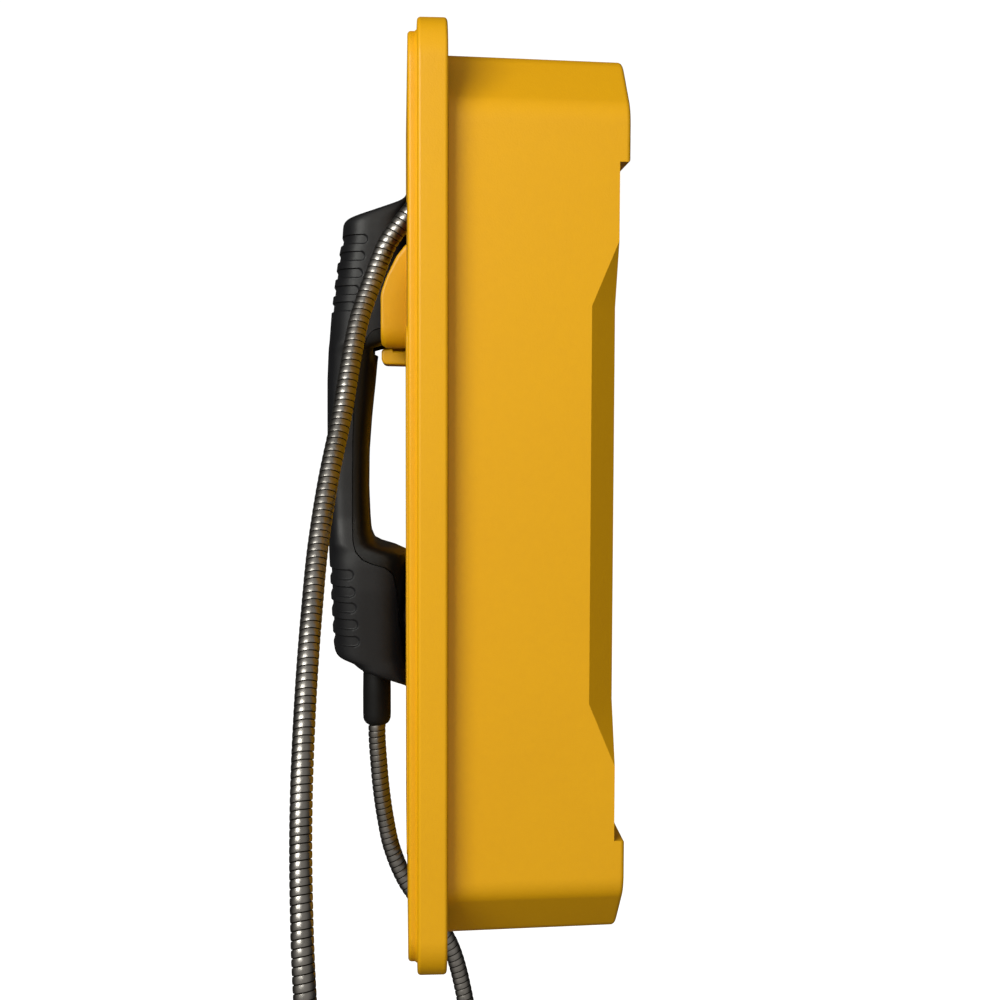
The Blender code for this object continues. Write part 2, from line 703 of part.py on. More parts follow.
def handset_hollow(name):
    # The same form moved in by the wall everywhere, above and below included
    rings = []
    wall = handset_wall
    low = handset_stations[0][0] + 3.2 * wall
    high = handset_stations[-1][0] - 3.2 * wall
    heights = [low] + [s[0] for s in handset_stations if low + 0.001 < s[0] < high - 0.001] + [high]
    for z in heights:
        near = [station_at(z + step) for step in (-wall, -wall / 2, 0, wall / 2, wall)]
        back = max(station[0] for station in near) + wall
        front = min(station[1] for station in near) - wall
        half = min(station[2] for station in near) - wall
        rings.append(handset_ring(z, back, front, half))
    return loft(name, rings)


def seam_outline():
    # Side view of the space that the inner shell takes, counter-clockwise
    inside_y = -0.065
    seam = [(inside_y, 0.0667), (-0.0869, 0.0667), (-0.0900, 0.0656), (-0.0925, 0.0621), (-0.0957, 0.0520),
            (-0.0977, 0.0400), (-0.0985, 0.0200), (-0.0987, 0.0000), (-0.0987, -0.0190), (-0.0985, -0.0240),
            (-0.0975, -0.0281), (-0.0945, -0.0316), (-0.0900, -0.0336), (-0.0848, -0.0351), (-0.0822, -0.0376),
            (-0.0809, -0.0445), (-0.0784, -0.0770), (inside_y, -0.0780)]
    return seam


def build_handset():
    grip = (handset_x, -0.100, 0.015)
    outer = handset_solid("handset_outer_shell", "black_plastic", grip)
    inner = handset_solid("handset_inner_shell", "black_plastic", grip)
    hollow = handset_hollow("handset_hollow")
    x0 = handset_x - 0.04
    x1 = handset_x + 0.04
    cut(outer, hollow)
    cut(outer, prism_x("seam_outer", seam_outline(), x0, x1))
    cut(inner, hollow)
    combine(inner, prism_x("seam_inner", offset_outline(seam_outline(), -gap), x0, x1), "INTERSECT")
    for shell, name, z in ((outer, "ear_hole", ear_cap_z), (inner, "mouth_hole", mouth_cap_z)):
        cut(shell, rod(name, (handset_x, cap_front_y + 0.002, z), (0, -1, 0), capsule_hole_radius, 0.010))
    build_cap("ear_cap", ear_cap_z, ear_cap_radius, grip)
    build_cap("mouth_cap", mouth_cap_z, mouth_cap_radius, grip)
    for name, z, radius in (("receiver_capsule", ear_cap_z, 0.0165), ("microphone_capsule", mouth_cap_z, 0.0120)):
        profile = [(0, 0), (radius, 0), (radius, 0.010), (radius - 0.002, 0.0115), (0, 0.0115)]
        turned(name, profile, (handset_x, cap_front_y + 0.004, z), (0, -1, 0), "grey_plastic", grip, steps=24)
    build_boot(outer, grip)
    build_handset_screws(inner, outer, grip)


def build_cap(name, z, radius, origin):
    # Hollow round cap, open towards the handset, with a slightly domed face
    depth = cap_rear_y - cap_front_y
    profile = [(radius - 0.0060, 0), (radius - 0.0024, 0.0018), (radius, 0.0050), (radius, depth - 0.0030),
               (radius - 0.0030, depth), (radius * 0.5, depth), (0.0030, depth), (0.0030, depth - cap_wall),
               (radius * 0.5, depth - cap_wall), (radius - 0.0045, depth - cap_wall - 0.0005),
               (radius - 0.0050, 0.0050), (radius - 0.0080, 0.0020), (radius - 0.0090, 0)]
    turned(name, profile, (handset_x, cap_front_y, z), (0, 1, 0), "black_plastic", origin, steps=28)


def build_boot(outer, origin):
    hole = boot_radius_top + gap
    cut(outer, rod("boot_hole", (handset_x, boot_y, boot_top_z - 0.006), (0, 0, 1), hole, 0.013))
    length = boot_top_z - boot_bottom_z
    bore = cord_diameter / 2 + boot_bore_clearance
    profile = [(0, -0.003), (boot_radius_top, -0.003), (boot_radius_top, length * 0.3),
               (boot_radius_bottom, length * 0.75), (boot_radius_bottom, length - 0.002),
               (boot_radius_bottom - boot_wall_bottom * 0.6, length), (bore, length), (bore, length - 0.006), (0, length - 0.006)]
    turned("handset_boot", profile, (handset_x, boot_y, boot_top_z), (0, 0, -1), "black_rubber", origin, steps=24)


def build_handset_screws(inner, outer, origin):
    for number, z in enumerate((0.050, -0.019)):
        back, front, half = station_at(z)
        head_y = front - 0.0008
        cut(inner, rod(f"grip_screw_pocket_{number}", (handset_x, front + 0.002, z), (0, -1, 0), 0.0032, 0.0035,
                       steps=16))
        cut(inner, rod(f"grip_screw_hole_{number}", (handset_x, front + 0.002, z), (0, -1, 0), 0.0018, 0.010,
                       steps=16))
        profile = [(0, 0), (0.0028, 0), (0.0028, 0.0004), (0.0014, 0.0004), (0.0014, 0.009), (0, 0.009)]
        turned(f"handset_screw_{number + 1}", profile, (handset_x, head_y, z), (0, -1, 0), "steel", origin,
               steps=14)


# ---- Gland and cord -----------------------------------------------------------------------------

def gland_axis():
    return Vector((0, -sin(gland_tilt), -cos(gland_tilt)))


def gland_point(along):
    return Vector((gland_x, gland_exit_y, gland_exit_z)) + gland_axis() * along


def build_gland():
    back = gland_axis() * -1
    bore = cord_diameter / 2 + gap
    profile = [(0, 0.004), (bore, 0.004), (bore, 0), (gland_radius - 0.0012, 0), (gland_radius, 0.0014),
               (gland_radius, gland_length), (gland_stem_radius, gland_length),
               (gland_stem_radius, gland_length + gland_stem_length), (0, gland_length + gland_stem_length)]
    turned("cord_gland", profile, gland_point(0), back, "steel", steps=24)
    nut_thick = 0.003
    nut_start = gland_length + gland_stem_length - nut_thick - 0.0006
    nut_bore = (gland_stem_radius + gap) / cos(pi / 6)    # six flats, inside and out
    nut = [(nut_bore, 0), (gland_radius, 0), (gland_radius, nut_thick), (nut_bore, nut_thick)]
    turned("gland_nut", nut, gland_point(-nut_start), back, "steel", steps=6)


def cord_route():
    # From inside the gland, down the front, round in a free loop below the phone, and up to the boot's face
    start = gland_point(-0.0035)
    points = [start, gland_point(0.0), (0.0200, -0.0758, 0.1068), (0.0200, -0.0822, 0.0984),
              (0.0207, -0.0858, 0.0905), (0.0226, -0.0886, 0.0827), (0.0252, -0.0914, 0.0749),
              (0.0290, -0.0940, 0.0660), (0.0335, -0.0959, 0.0560), (0.0385, -0.0978, 0.0440),
              (0.0440, -0.1000, 0.0300), (0.0560, -0.1044, 0.0070), (0.0690, -0.1075, -0.0160),
              (0.0820, -0.1090, -0.0370), (0.0930, -0.1100, -0.0560), (0.1030, -0.1106, -0.0745),
              (0.1115, -0.1109, -0.0926), (0.1185, -0.1108, -0.1107), (0.1250, -0.1102, -0.1285),
              (0.1308, -0.1093, -0.1460), (0.1350, -0.1078, -0.1660), (0.1370, -0.1048, -0.1900),
              (0.1340, -0.0995, -0.2170), (0.1250, -0.0922, -0.2440), (0.1080, -0.0830, -0.2690),
              (0.0830, -0.0730, -0.2880), (0.0520, -0.0630, -0.2985), (0.0200, -0.0550, -0.2975),
              (-0.0080, -0.0500, -0.2860), (-0.0290, -0.0475, -0.2680), (-0.0420, -0.0475, -0.2490),
              (-0.0480, -0.0500, -0.2300), (-0.0500, -0.0560, -0.2090), (-0.0500, -0.0665, -0.1930),
              (-0.0500, -0.0760, -0.1790), (-0.0500, -0.0821, -0.1642), (-0.0500, -0.0850, -0.1505),
              (-0.0500, -0.0869, -0.1369), (-0.0500, -0.0881, -0.1230),
              (-0.0500, boot_y, boot_bottom_z - 0.0060), (-0.0500, boot_y, boot_bottom_z - cord_end_gap)]
    return [Vector(point) for point in points]


def build_cord():
    tube("armoured_cord", smooth_route(cord_route(), 80), cord_diameter / 2, "steel", resolution=2)


# ---- Build --------------------------------------------------------------------------------------

clear_scene()
phone_centre = bpy.data.objects.new("phone_centre", None)
bpy.context.scene.collection.objects.link(phone_centre)
phone_centre.location = (0, 0, -origin_z)

build_rear_housing()
build_gasket()
build_front_cover()
build_cover_screws()
build_hook()
build_keypad()
build_electronics()
build_handset()
build_gland()
build_cord()
bpy.context.view_layer.update()
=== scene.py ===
import bpy
import bmesh
import numpy as np
from math import atan2, cos, hypot, pi, radians, sin, sqrt, tan
from mathutils import Matrix, Vector


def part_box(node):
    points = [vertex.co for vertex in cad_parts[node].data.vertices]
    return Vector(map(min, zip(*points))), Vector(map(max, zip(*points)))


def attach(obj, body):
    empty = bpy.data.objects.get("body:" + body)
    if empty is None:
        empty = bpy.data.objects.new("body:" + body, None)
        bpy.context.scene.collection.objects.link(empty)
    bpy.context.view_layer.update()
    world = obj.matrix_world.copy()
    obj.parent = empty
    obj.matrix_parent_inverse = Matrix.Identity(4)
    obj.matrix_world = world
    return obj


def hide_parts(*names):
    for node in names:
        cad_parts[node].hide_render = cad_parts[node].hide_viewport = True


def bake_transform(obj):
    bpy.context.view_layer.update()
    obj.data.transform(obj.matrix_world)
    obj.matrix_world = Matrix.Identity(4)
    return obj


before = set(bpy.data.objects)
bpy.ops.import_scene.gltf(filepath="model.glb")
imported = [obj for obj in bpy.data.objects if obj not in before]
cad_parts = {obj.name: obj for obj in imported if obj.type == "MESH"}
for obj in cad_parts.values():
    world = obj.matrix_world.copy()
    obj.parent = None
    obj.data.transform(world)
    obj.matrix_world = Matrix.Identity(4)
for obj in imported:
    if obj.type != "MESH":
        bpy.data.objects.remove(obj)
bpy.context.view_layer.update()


# ---------- where things are, read from the frame ----------

def boxOf(node):
    low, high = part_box(node)
    return Vector(low), Vector(high)


coverLow, coverHigh = boxOf("front_cover")
housingLow, housingHigh = boxOf("rear_housing")
centreZ = (coverLow.z + coverHigh.z) / 2      # middle of the case
flangeHalfX = (coverHigh.x - coverLow.x) / 2
flangeHalfZ = (coverHigh.z - coverLow.z) / 2
panelLow, panelHigh = boxOf("keypad_panel")
panelCentre = ((panelLow.x + panelHigh.x) / 2, (panelLow.z + panelHigh.z) / 2)
panelHalf = ((panelHigh.x - panelLow.x) / 2, (panelHigh.z - panelLow.z) / 2)
outerLow, outerHigh = boxOf("handset_outer_shell")
handsetX = (outerLow.x + outerHigh.x) / 2
print("frame read, case centre at", round(centreZ, 4))


# ---------- mesh tools ----------

def atCase(x, y, z):
    # a point given from the middle of the case
    return Vector((x, y, z + centreZ))


def newObject(name, data):
    item = bpy.data.objects.new(name, data)
    bpy.context.scene.collection.objects.link(item)
    return item


def meshFrom(name, builder, smoothAngle=35):
    bmesh.ops.remove_doubles(builder, verts=builder.verts, dist=1e-6)
    bmesh.ops.recalc_face_normals(builder, faces=builder.faces)
    mesh = bpy.data.meshes.new(name)
    builder.to_mesh(mesh)
    builder.free()
    return smoothItem(newObject(name, mesh), smoothAngle)


def smoothItem(item, angle):
    item.data.shade_smooth()
    item.data.set_sharp_from_angle(angle=radians(angle))
    return item


def roundOver(edge, depth):
    # how far the outline draws in at this depth below a rounded edge
    return edge - sqrt(max(edge ** 2 - max(edge - depth, 0) ** 2, 0))


def roundRect(centreX, middleZ, halfX, halfZ, radius, steps=8):
    x0, x1 = centreX - halfX, centreX + halfX
    z0, z1 = middleZ - halfZ, middleZ + halfZ
    points = []
    corners = ((x1, z1, 0), (x0, z1, 1), (x0, z0, 2), (x1, z0, 3))
    for x, z, quarter in corners:
        signX = 1 if x == x1 else -1
        signZ = 1 if z == z1 else -1
        for step in range(steps + 1):
            angle = (quarter + step / steps) * pi / 2
            points.append((x - signX * radius + radius * cos(angle), z - signZ * radius + radius * sin(angle)))
    return points


def roundCorners(corners, radii, steps):
    # each corner of a polygon becomes an arc of its own radius
    outline = []
    for index, corner in enumerate(corners):
        radius = radii[index] if isinstance(radii, (list, tuple)) else radii
        here = Vector(corner)
        before = Vector(corners[index - 1]) - here
        after = Vector(corners[(index + 1) % len(corners)]) - here
        half = before.angle(after) / 2
        setback = min(radius / tan(half), 0.48 * min(before.length, after.length))
        arc = setback * tan(half)
        centre = here + (before.normalized() + after.normalized()).normalized() * (arc / sin(half))
        start = here + before.normalized() * setback - centre
        end = here + after.normalized() * setback - centre
        turn = atan2(start.x * end.y - start.y * end.x, start.dot(end))
        for step in range(steps + 1):
            angle = turn * step / steps
            outline.append((centre.x + start.x * cos(angle) - start.y * sin(angle),
                            centre.y + start.x * sin(angle) + start.y * cos(angle)))
    return outline


def loft(name, rings, smoothAngle=35):
    # rings of equal length joined side by side, both ends closed
    builder = bmesh.new()
    rows = [[builder.verts.new(point) for point in ring] for ring in rings]
    count = len(rows[0])
    for lower, upper in zip(rows, rows[1:]):
        for index in range(count):
            after = (index + 1) % count
            builder.faces.new((lower[index], lower[after], upper[after], upper[index]))
    builder.faces.new(rows[0])
    builder.faces.new(rows[-1])
    return meshFrom(name, builder, smoothAngle)


def blockRings(halfX, halfZ, radius, profile, centre=(0, 0), steps=8):
    # profile holds (inset, y); every ring is the same rounded rectangle moved in by its inset
    rings = []
    for inset, y in profile:
        outline = roundRect(*centre, halfX - inset, halfZ - inset, max(radius - inset, 0.0002), steps)
        rings.append([(x, y, z) for x, z in outline])
    return rings


def turned(name, profile, centre, axis, steps=48, smoothAngle=35):
    # profile of (radius, distance along the axis); radius 0 closes an end
    axis = Vector(axis).normalized()
    side = axis.orthogonal().normalized()
    other = axis.cross(side)
    builder = bmesh.new()
    rows = []
    for radius, along in profile:
        middle = Vector(centre) + axis * along
        if radius == 0:
            rows.append([builder.verts.new(middle)])
            continue
        angles = [2 * pi * (step / steps) for step in range(steps)]
        rows.append([builder.verts.new(middle + (side * cos(a) + other * sin(a)) * radius) for a in angles])
    pairs = list(zip(rows, rows[1:]))
    if len(rows[0]) > 1 and len(rows[-1]) > 1:
        pairs.append((rows[-1], rows[0]))
    for first, second in pairs:
        if len(first) == len(second) == 1:
            continue
        for step in range(steps):
            after = (step + 1) % steps
            corners = [first[step % len(first)], first[after % len(first)],
                       second[after % len(second)], second[step % len(second)]]
            builder.faces.new(list(dict.fromkeys(corners)))
    return meshFrom(name, builder, smoothAngle)


def quarter(steps):
    return [pi / 2 * step / steps for step in range(steps + 1)]


def rolledIn(edge, y, steps=5):
    # rounded front edge of a profile of (inset, y) that starts at y
    return [(edge * (1 - sin(a)), y + edge * (1 - cos(a))) for a in quarter(steps)]


def rolledOut(edge, y, steps=5):
    # rounded edge that ends at y
    return [(edge * (1 - cos(a)), y - edge + edge * sin(a)) for a in quarter(steps)]


def flaredMouth(flare, front, before, end):
    # profile of an opening whose rim is cut away a little
    return [(-flare, front - before), (-flare, front), (-flare * 0.3, front + flare * 0.3), (0, front + flare),
            (0, end)]


def slabX(name, outline, x0, x1):
    # an outline of (y, z) from the middle of the case, pulled along X
    return loft(name, [[(x, y, z + centreZ) for y, z in outline] for x in (x0, x1)])


def slabY(name, outline, y0, y1):
    return loft(name, [[(x, y, z + centreZ) for x, z in outline] for y in (y0, y1)])


def fourCorners(x, z):
    return [(signX * x, signZ * z) for signX in (-1, 1) for signZ in (-1, 1)]


def rod(name, centre, axis, radius, length, steps=32):
    return turned(name, [(0, 0), (radius, 0), (radius, length), (0, length)], centre, axis, steps)


def bake(item):
    # leaves the object with one plain mesh and no modifiers
    depsgraph = bpy.context.evaluated_depsgraph_get()
    depsgraph.update()
    mesh = bpy.data.meshes.new_from_object(item.evaluated_get(depsgraph))
    item.modifiers.clear()
    item.data = mesh
    return item


def boolean(target, cutters, operation):
    for cutter in cutters:
        modifier = target.modifiers.new("cut", "BOOLEAN")
        modifier.operation = operation
        modifier.solver = "EXACT"
        modifier.object = cutter
        bake(target)
        bpy.data.objects.remove(cutter, do_unlink=True)
    return target


def cut(target, *cutters):
    return boolean(target, cutters, "DIFFERENCE")


def fuse(target, *others):
    return boolean(target, others, "UNION")


def softenEdges(item, width, angle):
    modifier = item.modifiers.new("soften", "BEVEL")
    modifier.width = width
    modifier.segments = 2
    modifier.limit_method = "ANGLE"
    modifier.angle_limit = radians(angle)
    modifier.use_clamp_overlap = True
    smoothItem(bake(item), 40)


def weightNormals(item, angle=None):
    if angle:
        smoothItem(item, angle)
    item.modifiers.new("weights", "WEIGHTED_NORMAL").keep_sharp = True
    bake(item)


# ---------- material tools ----------

def feed(tree, node, inputs):
    # an input takes a plain value or another node's output
    for label, value in inputs.items():
        if isinstance(value, bpy.types.NodeSocket):
            tree.links.new(value, node.inputs[label])
        else:
            node.inputs[label].default_value = value


def addNode(tree, kind, output, inputs, **settings):
    node = tree.nodes.new(kind)
    for label, value in settings.items():
        setattr(node, label, value)
    feed(tree, node, inputs)
    return node.outputs[output]


def mathNode(tree, operation, first, second):
    return addNode(tree, "ShaderNodeMath", 0, {0: first, 1: second}, operation=operation)


def noiseNode(tree, place, scale, detail, roughness):
    return addNode(tree, "ShaderNodeTexNoise", "Fac",
                   {"Vector": place, "Scale": scale, "Detail": detail, "Roughness": roughness})


def colourBetween(tree, mask, first, second):
    # first and second are colours, or the outputs of other nodes
    ends = {label: (*end, 1) if isinstance(end, tuple) else end for label, end in (("A", first), ("B", second))}
    return addNode(tree, "ShaderNodeMix", "Result", {**ends, "Factor": mask}, data_type="RGBA")


def rangeNode(tree, value, low, high):
    return addNode(tree, "ShaderNodeMapRange", "Result", {"To Min": low, "To Max": high, "Value": value})


def bumpNode(tree, height, strength, distance):
    return addNode(tree, "ShaderNodeBump", "Normal", {"Strength": strength, "Distance": distance, "Height": height})


def twoNoises(tree, place, scale, ratio, share, first, second):
    # first and second hold the detail and roughness of two noises; share is the weight of the first
    one = noiseNode(tree, place, scale, *first)
    other = noiseNode(tree, place, mathNode(tree, "MULTIPLY", scale, ratio), *second)
    return mathNode(tree, "ADD", mathNode(tree, "MULTIPLY", one, share), mathNode(tree, "MULTIPLY", other, 1 - share))


def buildGrain(tree, place, scale):
    return twoNoises(tree, place, scale, 0.23, 0.7, (2.0, 0.55), (1.0, 0.5))


def buildMottle(tree, place, scale):
    # slow change of shade over a surface, with a finer speckle on top
    ramp = tree.nodes.new("ShaderNodeValToRGB")
    for element, position in zip(ramp.color_ramp.elements, (0.35, 0.65)):
        element.position = position
    feed(tree, ramp, {"Fac": twoNoises(tree, place, scale, 24.0, 0.65, (3.0, 0.6), (2.0, 0.6))})
    return ramp.outputs["Color"]


def shaderGroup(name, build):
    # a node group that turns a place and a scale into one value
    tree = bpy.data.node_groups.new(name, "ShaderNodeTree")
    tree.interface.new_socket("Vector", in_out="INPUT", socket_type="NodeSocketVector")
    tree.interface.new_socket("Scale", in_out="INPUT", socket_type="NodeSocketFloat")
    tree.interface.new_socket("Value", in_out="OUTPUT", socket_type="NodeSocketFloat")
    given = tree.nodes.new("NodeGroupInput").outputs
    feed(tree, tree.nodes.new("NodeGroupOutput"), {"Value": build(tree, given["Vector"], given["Scale"])})
    return tree


grainGroup = shaderGroup("fine grain", buildGrain)
mottleGroup = shaderGroup("mottle", buildMottle)


def useGroup(tree, group, place, scale):
    node = tree.nodes.new("ShaderNodeGroup")
    node.node_tree = group
    feed(tree, node, {"Vector": place, "Scale": scale})
    return node.outputs[0]


def newMaterial(name, build):
    # build gives the inputs of the surface shader
    material = bpy.data.materials.new(name)
    material.use_nodes = True
    tree = material.node_tree
    place = tree.nodes.new("ShaderNodeTexCoord").outputs["Object"]
    feed(tree, tree.nodes["Principled BSDF"], build(tree, place))
    return material


def finishMaterial(name, shadeA, shadeB, roughness, spread, mottle, grain, bump, bumpDepth, specular=0.5, metallic=0.0):
    # two shades, grain for the bump and a roughness that wanders a little
    def build(tree, place):
        mask = useGroup(tree, mottleGroup, place, mottle)
        return {"Base Color": colourBetween(tree, mask, shadeA, shadeB), "Metallic": metallic,
                "Roughness": rangeNode(tree, mask, roughness - spread, roughness + spread),
                "Specular IOR Level": specular,
                "Normal": bumpNode(tree, useGroup(tree, grainGroup, place, grain), bump, bumpDepth)}

    return newMaterial(name, build)


# two shades, roughness and its spread, scale of mottle and grain, bump and its depth, specular, metallic
looks = {
    "yellowPaint": ((0.80, 0.402, 0.0), (0.77, 0.380, 0.0), 0.40, 0.03, 14, 1500, 0.35, 0.00025, 0.36),
    "blackPlastic": ((0.0070, 0.0072, 0.0088), (0.0095, 0.0097, 0.0115), 0.46, 0.04, 30, 2600, 0.25, 0.00012, 0.34),
    "innerPlastic": ((0.004, 0.004, 0.004), (0.006, 0.006, 0.006), 0.36, 0.04, 40, 3000, 0.12, 0.0001, 0.30),
    "blackRubber": ((0.0045, 0.0045, 0.0045), (0.007, 0.007, 0.007), 0.50, 0.06, 60, 2200, 0.3, 0.00015, 0.22),
    "steelFitting": ((0.52, 0.51, 0.49), (0.60, 0.59, 0.56), 0.30, 0.06, 90, 3000, 0.08, 0.0001, 0.5, 1.0),
    "boardGreen": ((0.010, 0.085, 0.035), (0.018, 0.13, 0.05), 0.32, 0.05, 160, 900, 0.1, 0.0001),
    "greyPlastic": ((0.24, 0.25, 0.26), (0.30, 0.31, 0.32), 0.5, 0.05, 50, 2500, 0.2, 0.0001),
    "digitInk": ((0.010, 0.010, 0.010), (0.016, 0.016, 0.016), 0.5, 0.04, 80, 2500, 0.1, 0.0001),
}
materials = {name: finishMaterial(name, *look) for name, look in looks.items()}

keyLook = {"colour": (0.60, 0.60, 0.59), "darker": 0.84, "roughness": (0.23, 0.40), "stretch": (60, 2600, 2600)}


def brushedMetal(tree, place):
    # fine scratches that run across X, as a belt leaves them
    stretched = addNode(tree, "ShaderNodeMapping", "Vector", {"Vector": place, "Scale": keyLook["stretch"]})
    lines = noiseNode(tree, stretched, 1.0, 3.0, 0.6)
    darker = tuple(keyLook["darker"] * channel for channel in keyLook["colour"])
    return {"Base Color": colourBetween(tree, lines, darker, keyLook["colour"]), "Metallic": 1.0,
            "Roughness": rangeNode(tree, lines, *keyLook["roughness"]),
            "Normal": bumpNode(tree, lines, 0.12, 0.00008)}


# the gap colour is painted shade: a near-black that stands in for the shade down in the narrow gaps between the strip's
# turns
hoseLook = {"crownA": (0.22, 0.21, 0.195), "crownB": (0.29, 0.275, 0.26), "gapShade": (0.022, 0.017, 0.012),
            "roughness": (0.27, 0.36), "gapRoughness": 0.3}


def hoseMetal(tree, place):
    # strip-wound hose: bare crowns, with painted shade down in the gaps (a near-black colour standing in for the shade
    # there), read from the piece's own attribute
    gap = addNode(tree, "ShaderNodeAttribute", "Fac", {}, attribute_name="gapDepth")
    mask = useGroup(tree, mottleGroup, place, 120)
    crownColour = colourBetween(tree, mask, hoseLook["crownA"], hoseLook["crownB"])
    # the gaps take the painted shade colour, darker than the crowns
    return {"Base Color": colourBetween(tree, gap, crownColour, hoseLook["gapShade"]), "Metallic": 1.0,
            "Roughness": mathNode(tree, "ADD", rangeNode(tree, mask, *hoseLook["roughness"]),
                                  mathNode(tree, "MULTIPLY", gap, hoseLook["gapRoughness"])),
            "Normal": bumpNode(tree, useGroup(tree, grainGroup, place, 2800), 0.06, 0.0001)}


materials["keyMetal"] = newMaterial("keyMetal", brushedMetal)
materials["hoseMetal"] = newMaterial("hoseMetal", hoseMetal)
print("materials ready:", len(materials))


def place(item, body, materialName, slotName, *replacedNodes):
    item.data.materials.clear()
    item.data.materials.append(materials[materialName])
    if body:
        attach(item, body)
    if replacedNodes:
        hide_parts(*replacedNodes)


# ---------- camera ----------

camera = {
    "fromCentre": (0.5864, -0.07738, 0.03596),    # metres from the middle of the case at the wall
    "turn": 0.0679, "down": 0.0682, "lean": 0.0034,    # radians
    "lens": 51.88, "sensor": 36.0,
}


def addCamera():
    turn, down, lean = camera["turn"], camera["down"], camera["lean"]
    forward = Vector((-cos(turn) * cos(down), sin(turn) * cos(down), -sin(down)))
    right = forward.cross(Vector((0, 0, 1))).normalized()
    up = right.cross(forward)
    leanRight = right * cos(lean) + up * sin(lean)
    leanUp = up * cos(lean) - right * sin(lean)
    lens = bpy.data.cameras.new("camera")
    lens.sensor_width = camera["sensor"]
    lens.lens = camera["lens"]
    item = newObject("camera", lens)
    turnMatrix = Matrix((leanRight, leanUp, -forward)).transposed().to_4x4()
    item.matrix_world = Matrix.Translation(atCase(*camera["fromCentre"])) @ turnMatrix
    bpy.context.scene.camera = item


addCamera()


# ---------- armoured cord ----------

hose = {
    "diameter": 0.0076, "pitch": 0.0027, "gapDepth": 0.00045, "crown": 0.00010,
    "sides": 28, "phases": (0.0, 0.0448, 0.1152, 0.16, 0.42, 0.62, 0.84),
    "depths": (0.06, 1.0, 1.0, 0.06, 0.0, 0.0, 0.0), "rises": (-0.35, 0.0, 0.0, -0.35, 0.35, 0.45, 0.2),
}
gland = {"x": 0.020, "y": -0.0692, "z": 0.1150, "tilt": radians(38), "stem": 0.0208}
glandAxis = Vector((0, -sin(gland["tilt"]), -cos(gland["tilt"])))
bootY = -0.0887
bootBottomZ = -0.1072


def glandPoint(along):
    return Vector((gland["x"], gland["y"], gland["z"])) + glandAxis * along


def hoseRoute():
    points = [glandPoint(-0.0035), glandPoint(0.0), (0.0200, -0.0758, 0.1068), (0.0200, -0.0822, 0.0984),
              (0.0207, -0.0858, 0.0905), (0.0226, -0.0886, 0.0827), (0.0252, -0.0914, 0.0749),
              (0.0290, -0.0940, 0.0660), (0.0335, -0.0959, 0.0560), (0.0385, -0.0978, 0.0440),
              (0.0440, -0.1000, 0.0300), (0.0560, -0.1044, 0.0070), (0.0690, -0.1075, -0.0160),
              (0.0820, -0.1090, -0.0370), (0.0930, -0.1100, -0.0560), (0.1030, -0.1106, -0.0745),
              (0.1115, -0.1109, -0.0926), (0.1185, -0.1108, -0.1107), (0.1250, -0.1102, -0.1285),
              (0.1308, -0.1093, -0.1460), (0.1350, -0.1078, -0.1660), (0.1370, -0.1048, -0.1900),
              (0.1340, -0.0995, -0.2170), (0.1250, -0.0922, -0.2440), (0.1080, -0.0830, -0.2690),
              (0.0830, -0.0730, -0.2880), (0.0520, -0.0630, -0.2985), (0.0200, -0.0550, -0.2975),
              (-0.0080, -0.0500, -0.2860), (-0.0290, -0.0475, -0.2680), (-0.0420, -0.0475, -0.2490),
              (-0.0480, -0.0500, -0.2300), (-0.0500, -0.0560, -0.2090), (-0.0500, -0.0665, -0.1930),
              (-0.0500, -0.0760, -0.1790), (-0.0500, -0.0821, -0.1642), (-0.0500, -0.0850, -0.1505),
              (-0.0500, -0.0869, -0.1369), (-0.0500, -0.0881, -0.1230),
              (-0.0500, bootY, bootBottomZ - 0.0060), (-0.0500, bootY, bootBottomZ - 0.0005),
              (-0.0500, bootY, bootBottomZ + 0.0045)]
    return [atCase(*point) for point in points]


def smoothCurve(points, perSpan=16):
    ends = [2 * points[0] - points[1], *points, 2 * points[-1] - points[-2]]
    curve = []
    for index in range(len(points) - 1):
        p0, p1, p2, p3 = ends[index:index + 4]
        for step in range(perSpan):
            t = step / perSpan
            curve.append(0.5 * (2 * p1 + (p2 - p0) * t + (2 * p0 - 5 * p1 + 4 * p2 - p3) * t * t
                                + (3 * p1 - p0 - 3 * p2 + p3) * t * t * t))
    curve.append(points[-1].copy())
    return np.array(curve)


def evenly(curve, count):
    steps = np.linalg.norm(np.diff(curve, axis=0), axis=1)
    along = np.concatenate(([0], np.cumsum(steps)))
    wanted = np.linspace(0, along[-1], count)
    return np.stack([np.interp(wanted, along, curve[:, axis]) for axis in range(3)], axis=1), along[-1]


def carriedFrames(path):
    # tangent and two sides at each point, carried along without twisting
    tangents = np.gradient(path, axis=0)
    tangents /= np.linalg.norm(tangents, axis=1)[:, None]
    sides = np.zeros_like(path)
    side = np.cross(tangents[0], (1.0, 0.0, 0.0))
    for index, tangent in enumerate(tangents):
        side = side - tangent * side.dot(tangent)
        side /= np.linalg.norm(side)
        sides[index] = side
    return tangents, sides, np.cross(tangents, sides)


